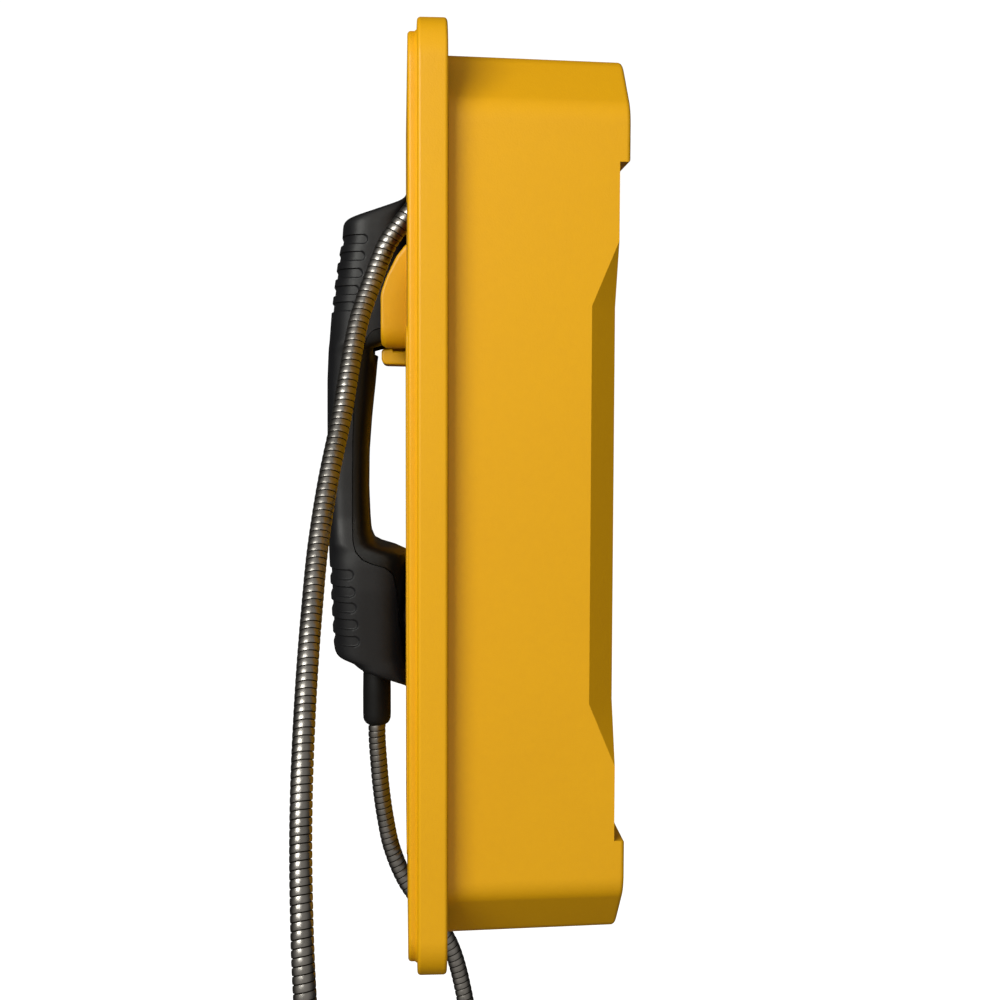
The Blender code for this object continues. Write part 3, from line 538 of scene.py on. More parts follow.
def makeHose():
    curve = smoothCurve(hoseRoute())
    path, length = evenly(curve, 1400)
    tangents, sides, others = carriedFrames(path)
    radius = hose["diameter"] / 2
    pitch = hose["pitch"]
    turns = int(length / pitch) + 1
    sidesCount = hose["sides"]
    builder = bmesh.new()
    gapLayer = builder.verts.layers.float.new("gapDepth")
    along = np.linspace(0, length, len(path))
    rows = []
    for turn in range(-1, turns):
        # one turn of the strip: down into the gap, up again, then a low crown to the next gap
        for phase, depth, rise in zip(hose["phases"], hose["depths"], hose["rises"]):
            row = []
            for sideIndex in range(sidesCount + 1):
                share = sideIndex / sidesCount
                s = pitch * (turn + phase + share)
                level, lift = depth, rise
                if s <= 0 or s >= length:
                    s = min(max(s, 0.0), length)
                    level, lift = 1.0, 0.0
                centre = np.array([np.interp(s, along, path[:, k]) for k in range(3)])
                index = min(int(round(s / length * (len(path) - 1))), len(path) - 1)
                r = radius - hose["gapDepth"] * level + hose["crown"] * lift
                angle = 2 * pi * share
                spot = centre + (sides[index] * cos(angle) + others[index] * sin(angle)) * r
                vertex = builder.verts.new(spot)
                vertex[gapLayer] = level if level > 0.5 else 0.0
                row.append(vertex)
            rows.append(row)
    for lower, upper in zip(rows, rows[1:]):
        for sideIndex in range(sidesCount):
            builder.faces.new((lower[sideIndex], lower[sideIndex + 1], upper[sideIndex + 1], upper[sideIndex]))
    bmesh.ops.remove_doubles(builder, verts=builder.verts, dist=2e-6)
    bmesh.ops.dissolve_degenerate(builder, edges=builder.edges, dist=2e-6)
    openEdges = [edge for edge in builder.edges if len(edge.link_faces) == 1]
    bmesh.ops.holes_fill(builder, edges=openEdges, sides=0)
    bmesh.ops.recalc_face_normals(builder, faces=builder.faces)
    mesh = bpy.data.meshes.new("armouredHose")
    builder.to_mesh(mesh)
    builder.free()
    item = smoothItem(newObject("armouredHose", mesh), 50)
    print("hose", round(length, 4), "m,", len(mesh.polygons), "faces")
    place(item, None, "hoseMetal", "steel_cord", "armoured_cord")
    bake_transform(item)


makeHose()


# ---------- rear housing ----------

housing = {
    "inset": 0.0083, "draft": 0.0012, "corner": 0.0215, "blend": 0.012, "wall": 0.004,
    "railDepth": 0.0037, "railInnerZ": 0.117, "railFlare": 0.0010,
    "rearRound": 0.0016, "recessDepth": 0.009, "recessFull": 0.0685, "recessEnd": 0.0905, "wallHoleX": 0.065,
    "wallHoleRadius": 0.0035, "cableZ": -0.060, "cableRadius": 0.009, "edge": 0.0006,
    "lipReach": 0.0012, "lipWide": 0.00055, "cutterReach": 0.006, "overrun": 0.25,
}


def sideRecess(side):
    halfX = flangeHalfX - housing["inset"] - housing["draft"]
    rearY = -housing["railDepth"]
    reach = housing["cutterReach"]
    overrun = housing["overrun"]
    depth = housing["recessDepth"]
    farEnd = housing["recessEnd"] + overrun * (housing["recessEnd"] - housing["recessFull"])
    rings = []
    for z, d in ((-farEnd, -overrun * depth), (-housing["recessFull"], depth), (housing["recessFull"], depth),
                 (farEnd, -overrun * depth)):
        rings.append([(side * (halfX + reach), rearY - d - reach, z + centreZ),
                      (side * (halfX + reach), rearY + reach, z + centreZ),
                      (side * (halfX - d - reach), rearY + reach, z + centreZ)])
    return loft(f"recessCutter{side}", rings)


def cornerCutRings(halfX, halfZ, profile):
    # a rectangle with its corners cut at 45 degrees and blended; profile holds (inset, y)
    rings = []
    for inset, y in profile:
        x = halfX - inset
        z = halfZ - inset
        c = housing["corner"] - inset * (2 - sqrt(2))
        corners = [(x, z - c), (x - c, z), (c - x, z), (-x, z - c), (-x, c - z), (c - x, -z), (x - c, -z), (x, c - z)]
        outline = roundCorners(corners, housing["blend"], 6)
        rings.append([(px, y, pz + centreZ) for px, pz in outline])
    return rings


def makeHousing():
    frontY = housingLow.y
    halfX = flangeHalfX - housing["inset"]
    halfZ = flangeHalfZ - housing["inset"]
    draft = housing["draft"]
    # a thin lip round the outside reaches past the gasket; the rear edge is rounded
    profile = [(0.0, frontY - housing["lipReach"])]
    profile += [(draft + inset, y) for inset, y in rolledOut(housing["rearRound"], 0)]
    shell = loft("rearHousingShell", cornerCutRings(halfX, halfZ, profile))
    inner = housing["wall"] + draft
    lipInset = housing["lipWide"]
    rearY = -housing["railDepth"]
    floorY = rearY - housing["wall"]
    innerProfile = [(lipInset, frontY - 0.01), (lipInset, frontY), (inner, frontY + 0.00001),
                    (inner, floorY - housing["recessDepth"]), (inner + housing["recessDepth"], floorY)]
    hollow = loft("hollow", cornerCutRings(halfX, halfZ, innerProfile))
    rail = housing["railInnerZ"]
    flare = housing["railFlare"]
    arc = rolledOut(flare, 0, 4)
    gapOutline = [(rearY, -rail), (rearY, rail)] + [(y, rail + inset) for inset, y in arc]
    gapOutline += [(0.01, rail + flare), (0.01, -rail - flare)] + [(y, -rail - inset) for inset, y in reversed(arc)]
    railGap = slabX("railGap", gapOutline, -0.15, 0.15)
    cut(shell, hollow, railGap, sideRecess(-1), sideRecess(1))
    softenEdges(shell, housing["edge"], 24)
    for x, z in fourCorners(housing["wallHoleX"], (rail + halfZ) / 2):
        cut(shell, flaredHole(atCase(x, 0.0, z), housing["wallHoleRadius"]))
    cut(shell, rod("cable", atCase(0, -0.02, housing["cableZ"]), (0, 1, 0), housing["cableRadius"], 0.03))
    weightNormals(shell)
    place(shell, "root", "yellowPaint", "yellow_paint", "rear_housing")
    print("housing", len(shell.data.polygons), "faces")


def flaredHole(mouth, radius, flare=0.0008):
    # a through hole along Y whose mouth at the given point is rounded over
    profile = [(0, -0.02), (radius, -0.02)] + [(radius + inset, y) for inset, y in rolledOut(flare, 0, 4)]
    profile += [(radius + flare, 0.002), (0, 0.002)]
    return turned("hole", profile, mouth, (0, 1, 0), 32)


makeHousing()


# ---------- front cover ----------

cover = {
    "lipY": -0.0755, "lipStep": 0.0032, "lipInset": 0.0046, "radius": 0.017, "flangeThick": 0.0102,
    "plateWall": 0.004, "rim": 0.012, "edge": 0.0012, "screwInset": 0.0245, "screwHead": 0.0054, "screwDepth": 0.0041,
    "trayHalf": 0.033, "trayTop": 0.1335, "trayBottom": -0.107, "trayDepth": 0.019, "trayWall": 0.003,
    "trayRadius": 0.012, "trayFlare": 0.0016, "trayFillet": 0.0022,
    "pocketHalf": 0.012, "pocketTop": 0.1255, "pocketBottom": 0.088,
    "cheekInner": 0.0302, "cheekThick": 0.0100, "cheekReach": 0.0106, "cheekTop": 0.1005, "cheekBottom": 0.058,
    "cheekRound": 0.0012, "cheekFoot": 0.0085,
    "slotHalf": 0.021, "slotHalfZ": 0.0077, "bossRadius": 0.006, "bossDepth": 0.0098, "glandHole": 0.0044,
}
lipY = cover["lipY"]
flangeY = lipY + cover["lipStep"]
flangeRearY = flangeY + cover["flangeThick"]
trayFloorY = lipY + cover["trayDepth"]
hookZ = 0.0540


def pocketCutter(x, z, halfX, halfZ, radius):
    # a pocket with a rolled mouth and a filleted floor
    flare = cover["trayFlare"]
    fillet = cover["trayFillet"]
    mouth = [(-inset, y) for inset, y in rolledIn(flare, lipY)]
    profile = [(-flare, lipY - 0.012)] + mouth + rolledOut(fillet, trayFloorY, 4)
    return loft("pocket", blockRings(halfX, halfZ, radius, profile, (x, z + centreZ)))


def pocketWall(x, z, halfX, halfZ, radius):
    wall = cover["trayWall"]
    profile = [(0, lipY + cover["plateWall"] - 0.001), (0, trayFloorY + wall - 0.001), (0.001, trayFloorY + wall)]
    return loft("pocketWall", blockRings(halfX + wall, halfZ + wall, radius + wall, profile, (x, z + centreZ)))


def cheek(side):
    # cradle cheek: straight front, sloping top, rounded foot that turns under towards its outer face
    front = lipY - cover["cheekReach"]
    root = trayFloorY + cover["trayWall"] / 2
    top = cover["cheekTop"]
    thick = cover["cheekThick"]
    rings = []
    edge = cover["cheekRound"]
    foot = cover["cheekFoot"]
    depths = [0, 0.0002, 0.0005, 0.0009, 0.0013, 0.0019, 0.0027, 0.0037, 0.0049, 0.0063, 0.0078, 0.0088, 0.0094,
              0.0098, thick]
    for depth in depths:     # depth from the outer face inwards
        rounding = roundOver(edge, min(depth, thick - depth))
        bottom = cover["cheekBottom"] + max(roundOver(foot, depth), rounding)
        corners = [(root, bottom), (front + rounding, bottom), (front + rounding, 0.0800),
                   (lipY - 0.0084 + rounding, 0.0864), (lipY - 0.0042 + rounding, 0.0952 - rounding),
                   (lipY + rounding, top - rounding), (root, top - rounding)]
        outline = roundCorners(corners, [0.001, 0.0030, 0.012, 0.020, 0.012, 0.004, 0.001], 6)
        x = handsetX + side * (cover["cheekInner"] + thick - depth)
        rings.append([(x, y, z + centreZ) for y, z in outline])
    return loft(f"cheek{side}", rings, 30)


def makeCover():
    edge = cover["edge"]
    outerProfile = rolledIn(edge, flangeY) + rolledOut(edge, flangeRearY)
    body = loft("frontCoverShell", blockRings(flangeHalfX, flangeHalfZ, cover["radius"], outerProfile,
                                              (0, centreZ), 12))
    inset = cover["lipInset"]
    lipProfile = rolledIn(edge, lipY) + [(0, flangeY - 0.0008), (-0.0008, flangeY + 0.0002), (-0.0008, flangeY + 0.004)]
    lip = loft("lip", blockRings(flangeHalfX - inset, flangeHalfZ - inset, cover["radius"] - inset, lipProfile,
                                 (0, centreZ), 12))
    rim = cover["rim"]
    hollow = loft("hollow", blockRings(flangeHalfX - rim, flangeHalfZ - rim, cover["radius"] - 0.0046,
                                       [(0, lipY + cover["plateWall"]), (0, 0.0)], (0, centreZ), 6))
    fuse(body, lip)
    cut(body, hollow)
    tray = (handsetX, (cover["trayBottom"] + cover["trayTop"]) / 2, cover["trayHalf"],
            (cover["trayTop"] - cover["trayBottom"]) / 2, cover["trayRadius"])
    pocket = (gland["x"], (cover["pocketBottom"] + cover["pocketTop"]) / 2, cover["pocketHalf"],
              (cover["pocketTop"] - cover["pocketBottom"]) / 2, cover["pocketHalf"] * 0.9)
    fuse(body, pocketWall(*tray), pocketWall(*pocket))
    cut(body, pocketCutter(*tray), pocketCutter(*pocket))
    fuse(body, cheek(-1), cheek(1))
    head = cover["screwHead"]
    depth = cover["screwDepth"]
    profile = [(0, -0.003), (head + 0.0006, -0.003), (head + 0.0006, 0), (head + 0.0002, 0.0004), (head, 0.0009),
               (head, depth), (0.0033, depth), (0.0033, 0.03), (0, 0.03)]
    for x, z in fourCorners(flangeHalfX - cover["screwInset"], flangeHalfZ - cover["screwInset"]):
        fuse(body, rod("boss", atCase(x, lipY + cover["plateWall"] - 0.001, z), (0, 1, 0), cover["bossRadius"],
                       cover["bossDepth"]))
        cut(body, turned("screwPocket", profile, atCase(x, lipY, z), (0, 1, 0), 36))
    slot = roundRect(handsetX, hookZ, cover["slotHalf"], cover["slotHalfZ"], 0.0015, 4)
    cut(body, slabY("hookSlot", slot, trayFloorY - 0.003, trayFloorY + 0.005))
    cut(body, rod("glandHole", atCase(*glandPoint(0.002)), glandAxis * -1, cover["glandHole"], 0.034))
    keypadCut(body)
    weightNormals(body, 32)
    place(body, "root", "yellowPaint", "yellow_paint", "front_cover")
    print("cover", len(body.data.polygons), "faces")


def keypadCut(body):
    gap = keypad["gap"]
    profile = flaredMouth(0.0006, lipY, 0.01, panelLow.y + 0.0027)
    recess = loft("panelRecess", blockRings(panelHalf[0] + gap, panelHalf[1] + gap, 0.006, profile, panelCentre, 6))
    opening = roundRect(keypad["x"], keypad["z"], keypad["skirtX"] + gap, keypad["skirtZ"] + gap, 0.0004, 2)
    cut(body, recess, slabY("panelOpening", opening, lipY, lipY + 0.006))


keypad = {
    "x": 0.050, "z": -0.030, "pitch": 0.020, "columns": 3, "rows": 4, "keySize": 0.014,
    "skirtX": 0.032, "skirtZ": 0.042, "gap": 0.0003, "keyRound": 0.0022, "dish": 0.00035, "edge": 0.0006,
    "digitHeight": 0.0066, "digitRaise": 0.00006,
    "digits": "123456789*0#",
}
makeCover()


# ---------- keypad ----------

def keyPlaces():
    for row in range(keypad["rows"]):
        for column in range(keypad["columns"]):
            yield (keypad["x"] + (column - 1) * keypad["pitch"],
                   keypad["z"] + (1.5 - row) * keypad["pitch"] + centreZ)


def makePanel():
    front = panelLow.y
    profile = rolledIn(keypad["edge"], front, 4) + [(0, front + 0.0024)]
    panel = loft("keypadPanel", blockRings(*panelHalf, 0.006, profile, panelCentre))
    for inset, start, end, change in ((0, front + 0.0014, panelHigh.y, fuse),
                                      (0.002, front + 0.0024, panelHigh.y + 0.001, cut)):
        rings = blockRings(keypad["skirtX"] - inset, keypad["skirtZ"] - inset, 0.0004, [(0, start), (0, end)],
                           (keypad["x"], keypad["z"] + centreZ), 2)
        change(panel, loft("skirt", rings))
    for px, pz in keyPlaces():
        half = keypad["keySize"] / 2 + keypad["gap"]
        profile = flaredMouth(0.0004, front, 0.001, front + 0.004)
        cut(panel, loft("keyHole", blockRings(half, half, keypad["keyRound"] + keypad["gap"], profile, (px, pz), 5)))
    weightNormals(panel, 32)
    place(panel, "root", "yellowPaint", "yellow_paint", "keypad_panel")


def makeKey(number, px, pz):
    # key cap with a shallow dish in its face, rounded edges and a retaining rim behind the panel
    node = f"key_{number + 1:02d}"
    low, high = boxOf(node)
    face = low.y
    rimFront = face + 0.0024
    half = keypad["keySize"] / 2
    dish = keypad["dish"]
    profile = [(half - 0.0004, face + dish), (half * 0.62, face + dish * 0.86), (half * 0.34, face + dish * 0.45),
               (half * 0.16, face + dish * 0.10), (half * 0.09, face), (0.0003, face + 0.00008), (0.0, face + 0.0004),
               (0.0, rimFront), (-0.0015, rimFront), (-0.0015, high.y)]
    item = loft(f"keyCap{number + 1:02d}", blockRings(half, half, keypad["keyRound"], profile, (px, pz), 5), 40)
    place(item, node, "keyMetal", "key_metal", node)
    makeDigit(number, px, pz, face + dish, node)


def makeDigit(number, px, pz, y, body):
    text = bpy.data.curves.new(f"digit{number + 1:02d}", "FONT")
    text.body = keypad["digits"][number]
    text.size = keypad["digitHeight"] * 1.4
    text.extrude = keypad["digitRaise"]
    text.align_x = "CENTER"
    text.align_y = "CENTER"
    text.resolution_u = 4
    item = newObject(f"digitText{number}", text)
    bpy.context.view_layer.update()
    mesh = bpy.data.meshes.new_from_object(item.evaluated_get(bpy.context.evaluated_depsgraph_get()))
    bpy.data.objects.remove(item, do_unlink=True)
    middle = sum((Vector(corner.co) for corner in mesh.vertices), Vector()) / len(mesh.vertices)
    xs = [v.co.x for v in mesh.vertices]
    ys = [v.co.y for v in mesh.vertices]
    shift = Matrix.Translation((-(min(xs) + max(xs)) / 2, -(min(ys) + max(ys)) / 2, -middle.z))
    stand = Matrix.Translation((px, y - keypad["digitRaise"] * 0.4, pz)) @ Matrix.Rotation(radians(90), 4, "X")
    mesh.transform(stand @ shift)
    piece = newObject(f"keyDigit{number + 1:02d}", mesh)
    place(piece, body, "digitInk", "key_metal")


makePanel()
for keyNumber, (keyX, keyZ) in enumerate(keyPlaces()):
    makeKey(keyNumber, keyX, keyZ)
print("keypad ready")


# ---------- cover screws, by geometry nodes ----------

screws = {"headRadius": 0.005, "headDepth": 0.0035, "socketRadius": 0.0026, "socketDepth": 0.0018,
          "pinRadius": 0.0008, "shankRadius": 0.0029, "length": 0.026}


def screwTemplate():
    # button head with a hexagonal socket and a centre pin
    headRadius = screws["headRadius"]
    profile = [(0, 0.0), (headRadius * 0.80, 0.0), (headRadius * 0.94, 0.0003), (headRadius, 0.0009),
               (headRadius, screws["headDepth"]), (screws["shankRadius"], screws["headDepth"]),
               (screws["shankRadius"], screws["length"]), (0, screws["length"])]
    head = turned("screwShape", profile, (0, 0, 0), (0, 1, 0), 36)
    cut(head, rod("socket", (0, -0.001, 0), (0, 1, 0), screws["socketRadius"], screws["socketDepth"] + 0.001, 6))
    pin = turned("pin", [(0, 0.0005), (screws["pinRadius"] * 0.7, 0.0005), (screws["pinRadius"], 0.0008),
                         (screws["pinRadius"], screws["socketDepth"] + 0.0005), (0, screws["socketDepth"] + 0.0005)],
                 (0, 0, 0), (0, 1, 0), 14)
    fuse(head, pin)
    return smoothItem(head, 35)


def scatterTree(name, template, material):
    # puts the template on every vertex of the object that carries the modifier
    tree = bpy.data.node_groups.new(name, "GeometryNodeTree")
    for direction in ("INPUT", "OUTPUT"):
        tree.interface.new_socket("Geometry", in_out=direction, socket_type="NodeSocketGeometry")
    mesh = tree.nodes.new("NodeGroupInput").outputs["Geometry"]
    shape = addNode(tree, "GeometryNodeObjectInfo", "Geometry", {"Object": template})
    points = addNode(tree, "GeometryNodeMeshToPoints", "Points", {"Mesh": mesh})
    spread = addNode(tree, "GeometryNodeInstanceOnPoints", "Instances", {"Points": points, "Instance": shape})
    real = addNode(tree, "GeometryNodeRealizeInstances", "Geometry", {"Geometry": spread})
    finish = addNode(tree, "GeometryNodeSetMaterial", "Geometry", {"Geometry": real, "Material": material})
    feed(tree, tree.nodes.new("NodeGroupOutput"), {"Geometry": finish})
    return tree


def scatter(name, template, points, materialName):
    mesh = bpy.data.meshes.new(name)
    mesh.from_pydata([tuple(point) for point in points], [], [])
    item = newObject(name, mesh)
    modifier = item.modifiers.new("scatter", "NODES")
    modifier.node_group = scatterTree(f"{name} tree", template, materials[materialName])
    bake(item)
    bpy.data.objects.remove(template, do_unlink=True)
    return item


def makeScrews():
    nodes = [f"cover_screw_{number}" for number in range(1, 5)]
    boxes = [boxOf(node) for node in nodes]
    points = [((low.x + high.x) / 2, low.y, (low.z + high.z) / 2) for low, high in boxes]
    item = smoothItem(scatter("coverScrews", screwTemplate(), points, "steelFitting"), 35)
    place(item, "root", "steelFitting", "steel_fittings", *nodes)


makeScrews()


# ---------- hook lever ----------

lever = {"half": 0.017, "thick": 0.0073, "tipY": -0.0861, "pivotY": -0.046, "hub": 0.0052, "round": 0.0011,
         "noseRadius": 0.0024, "bore": 0.00156, "step": 0.0009, "lift": 0.0005}


def makeLever():
    x0 = handsetX - lever["half"]
    x1 = handsetX + lever["half"]
    low = hookZ - lever["thick"] / 2 + lever["lift"]
    high = hookZ + lever["thick"] / 2 + lever["lift"]
    tip = lever["tipY"]
    pivotY = lever["pivotY"]
    step = lever["step"]
    # the nose carries a low raised pad, so the side view shows a small step behind the tip
    corners = [(tip, low + 0.0008), (pivotY, low), (pivotY, high - step), (tip + 0.0052, high - step),
               (tip + 0.0046, high), (tip, high)]
    radii = [lever["noseRadius"], 0.001, 0.001, 0.0003, 0.0005, 0.0013]
    rings = []
    edge = lever["round"]
    spots = [0, 0.00015, 0.0004, 0.0007, edge]
    for depth in spots + [x1 - x0 - d for d in reversed(spots)]:
        inset = roundOver(edge, min(depth, x1 - x0 - depth))
        shrunk = [(y + (inset if y < tip + 0.003 else 0), z + (inset if z < hookZ else -inset)) for y, z in corners]
        rings.append([(x0 + depth, y, z + centreZ) for y, z in roundCorners(shrunk, radii, 5)])
    tongue = loft("hookLeverBody", rings, 40)
    fuse(tongue, rod("hub", atCase(x0 + 0.0002, pivotY, hookZ), (1, 0, 0), lever["hub"], x1 - x0 - 0.0004))
    tail = [(pivotY - 0.0015, hookZ), (pivotY + 0.0015, hookZ), (pivotY + 0.0065, hookZ - 0.018),
            (pivotY + 0.0035, hookZ - 0.019)]
    fuse(tongue, slabX("tail", tail, handsetX - 0.006, handsetX + 0.006))
    cut(tongue, rod("bore", atCase(x0 - 0.01, pivotY, hookZ), (1, 0, 0), lever["bore"], 0.06, 24))
    weightNormals(tongue, 38)
    place(tongue, "hook", "yellowPaint", "yellow_paint", "hook_lever")


makeLever()


# ---------- handset ----------

handset = {
    "faceY": -0.0745, "wall": 0.0026, "sides": 176, "innerSides": 112, "squareness": 3.4, "softness": 0.0008,
    "earZ": 0.093, "mouthZ": -0.057, "screwZ": (0.050, -0.019),
    "grooveDepth": 0.0008, "grooveEdge": 0.00018, "seamGap": 0.00032, "seamDrop": 0.00025,
    "upperGrooves": [(0.1036, -0.0917), (0.0966, -0.0928), (0.0895, -0.0939), (0.0824, -0.0953), (0.0756, -0.0966)],
    "upperHeight": 0.0037,
    "lowerGrooves": [(-0.0379, -0.0982), (-0.0452, -0.0975), (-0.0520, -0.0970), (-0.0592, -0.0964),
                     (-0.0664, -0.0957)],
    "lowerHeight": 0.0042,
}
# height, back and half width up the handset; the grip also has its own front
stations = [
    (-0.0874, -0.0757, 0.016), (-0.0858, -0.0790, 0.021), (-0.0843, -0.0832, 0.0232),
    (-0.0821, -0.0905, 0.0243), (-0.0807, -0.0948, 0.0249), (-0.0798, -0.0966, 0.025),
    (-0.0786, -0.0984, 0.025), (-0.0772, -0.0992, 0.025), (-0.0766, -0.1010, 0.025), (-0.0754, -0.1047, 0.025),
    (-0.0742, -0.1062, 0.025), (-0.0720, -0.1071, 0.025), (-0.0690, -0.1075, 0.025), (-0.0600, -0.1080, 0.025),
    (-0.0450, -0.1087, 0.025), (-0.0340, -0.1091, 0.0245), (-0.0300, -0.1093, 0.024),
    (-0.0280, -0.1093, 0.0235, -0.0795), (-0.0256, -0.1094, 0.023, -0.0885), (-0.0208, -0.1095, 0.022, -0.0906),
    (-0.0145, -0.1096, 0.0205, -0.0911), (-0.0020, -0.1097, 0.0195, -0.0916), (0.0140, -0.1098, 0.019, -0.0914),
    (0.0300, -0.1098, 0.0195, -0.0902), (0.0450, -0.1097, 0.021, -0.0886), (0.0560, -0.1092, 0.023, -0.0876),
    (0.0590, -0.1090, 0.024, -0.0866), (0.0605, -0.1088, 0.025, -0.0805), (0.0615, -0.1087, 0.0255),
    (0.0742, -0.1077, 0.026), (0.0836, -0.1066, 0.026), (0.0950, -0.1050, 0.026), (0.1049, -0.1030, 0.026),
    (0.1110, -0.1026, 0.0258), (0.1128, -0.1014, 0.0255), (0.1138, -0.0994, 0.0253), (0.1154, -0.0944, 0.025),
    (0.1172, -0.0888, 0.0245), (0.1190, -0.0832, 0.0235), (0.1204, -0.0790, 0.022), (0.1220, -0.0768, 0.019),
    (0.1236, -0.0757, 0.016),
]
formTable = np.array([(*row, handset["faceY"])[:4] for row in stations])


def signedPower(value, power):
    return abs(value) ** power * (1 if value > 0 else -1)


def grooveSets():
    return ((handset["upperGrooves"], handset["upperHeight"]), (handset["lowerGrooves"], handset["lowerHeight"]))


def formAt(heights, softness):
    # the handset's back, half width and front at each height, with its corners softened
    window = np.linspace(-2, 2, 17)
    weights = np.exp(-window ** 2 / 2)
    weights /= weights.sum()
    return [sum(weight * np.interp(heights + offset, formTable[:, 0], formTable[:, column])
                for offset, weight in zip(window * softness, weights)) for column in (1, 2, 3)]


def grooveDepthAt(y, z):
    depth = 0.0
    for grooves, height in grooveSets():
        r = height / 2
        for middle, endY in grooves:
            if abs(z - middle) <= height:
                distance = hypot(max(y - (endY - r), 0.0), z - middle) - r
                depth = max(depth, min(max(0.5 - distance / (2 * handset["grooveEdge"]), 0.0), 1.0))
    return depth


def ringAngles(sides, crowding):
    # even steps round the section, closer together on the flanks where the grooves end
    fine = np.linspace(0, 2 * pi, 20001)
    power = 2 / handset["squareness"]
    x = 0.0255 * np.abs(np.cos(fine)) ** power * np.sign(np.cos(fine))
    share = np.abs(np.sin(fine)) ** power * np.sign(np.sin(fine))
    steps = np.hypot(np.diff(x), np.diff(0.0143 * share))
    middle = (share[1:] + share[:-1]) / 2
    steps = steps * np.where((middle > -0.72) & (middle < 0.16), crowding, 1.0)
    run = np.concatenate(([0], np.cumsum(steps)))
    return np.interp((np.arange(sides) + 0.5) / sides * run[-1], run, fine)


def handsetForm(name, sides, heights, inset=0.0, grooved=False):
    backs, halves, fronts = formAt(heights, handset["softness"])
    power = 2 / handset["squareness"]
    rings = []
    angles = ringAngles(sides, 4.0 if grooved else 1.0)
    for z, back, front, half in zip(heights, backs, fronts, halves):
        back += inset
        front -= inset
        half -= inset
        middle = (back + front) / 2
        reach = (front - back) / 2
        ring = []
        for angle in angles:
            c, s = cos(angle), sin(angle)
            x = half * signedPower(c, power)
            y = middle + reach * signedPower(s, power)
            if grooved:
                depth = grooveDepthAt(y, z) * handset["grooveDepth"]
                if depth > 0:
                    outX, outY = signedPower(c, 2 - power) / half, signedPower(s, 2 - power) / reach
                    x -= depth * outX / hypot(outX, outY)
                    y -= depth * outY / hypot(outX, outY)
            ring.append((handsetX + x, y, z + centreZ))
        rings.append(ring)
    return loft(name, rings, 40)


def fineHeights():
    # rows up the handset, closer together at its ends and where the blocks meet the grip
    heights = []
    z = stations[0][0]
    top = stations[-1][0]
    while z < top:
        heights.append(z)
        curved = z < -0.072 or z > 0.108 or -0.032 < z < -0.017 or 0.055 < z < 0.064
        z += 0.0006 if curved else 0.0014
    heights = np.array(heights + [top])
    # every groove gets its own rows: close together at its two edges
    for grooves, height in grooveSets():
        for middle, _ in grooves:
            half = height / 2
            heights = heights[np.abs(heights - middle) > half + 0.0007]
            rows = [-1.35, -1.12, -1.04, -0.93, -0.88, -0.74, -0.58, -0.40, -0.20, 0.0]
            rows += [-row for row in reversed(rows[:-1])]
            heights = np.concatenate((heights, middle + half * np.array(rows)))
    return np.unique(heights)


def seamBlock(name, grow):
    # side outline of the space that the inner shell fills
    inside = -0.065
    top = [(inside, 0.0667), (-0.0869, 0.0667), (-0.0900, 0.0656)]
    grip = [(-0.0925, 0.0621), (-0.0957, 0.0520), (-0.0977, 0.0400), (-0.0985, 0.0200), (-0.0987, 0.0000)]
    bend = [(-0.0987, -0.0190), (-0.0985, -0.0240), (-0.0975, -0.0281), (-0.0945, -0.0316), (-0.0900, -0.0336),
            (-0.0848, -0.0351), (-0.0815, -0.0378)]
    corners = ([(y, z + grow) for y, z in top] + [(y - grow, z) for y, z in grip]
               + [(y - grow, z - grow) for y, z in bend] + [(-0.0800 - grow, -0.0445), (-0.0778 - grow, -0.0650)]
               + [(-0.0757, -0.0848), (-0.0757, -0.0860), (inside, -0.0860)])
    radii = [0.0002] + [0.004] * 16 + [0.001, 0.0002, 0.0002]
    return slabX(name, roundCorners(corners, radii, 3), handsetX - 0.04, handsetX + 0.04)


def handsetHollow():
    wall = handset["wall"]
    heights = np.array([-0.079, -0.076, -0.070, -0.050, -0.036, -0.031, -0.0285, -0.020, 0.0, 0.020, 0.040, 0.053,
                        0.0645, 0.068, 0.080, 0.100, 0.104, 0.108, 0.1115])
    angles = [2 * pi * (step + 0.5) / 28 for step in range(28)]
    rings = []
    for z in heights:
        near = z + np.linspace(-wall, wall, 9)
        backs, halves, fronts = (np.interp(near, formTable[:, 0], formTable[:, column]) for column in (1, 2, 3))
        back = backs.max() + wall
        front = fronts.min() - wall
        half = halves.min() - wall
        rings.append([(handsetX + half * signedPower(cos(a), 0.56),
                       (back + front) / 2 + (front - back) / 2 * signedPower(sin(a), 0.56), z + centreZ)
                      for a in angles])
    return loft("handsetHollow", rings)


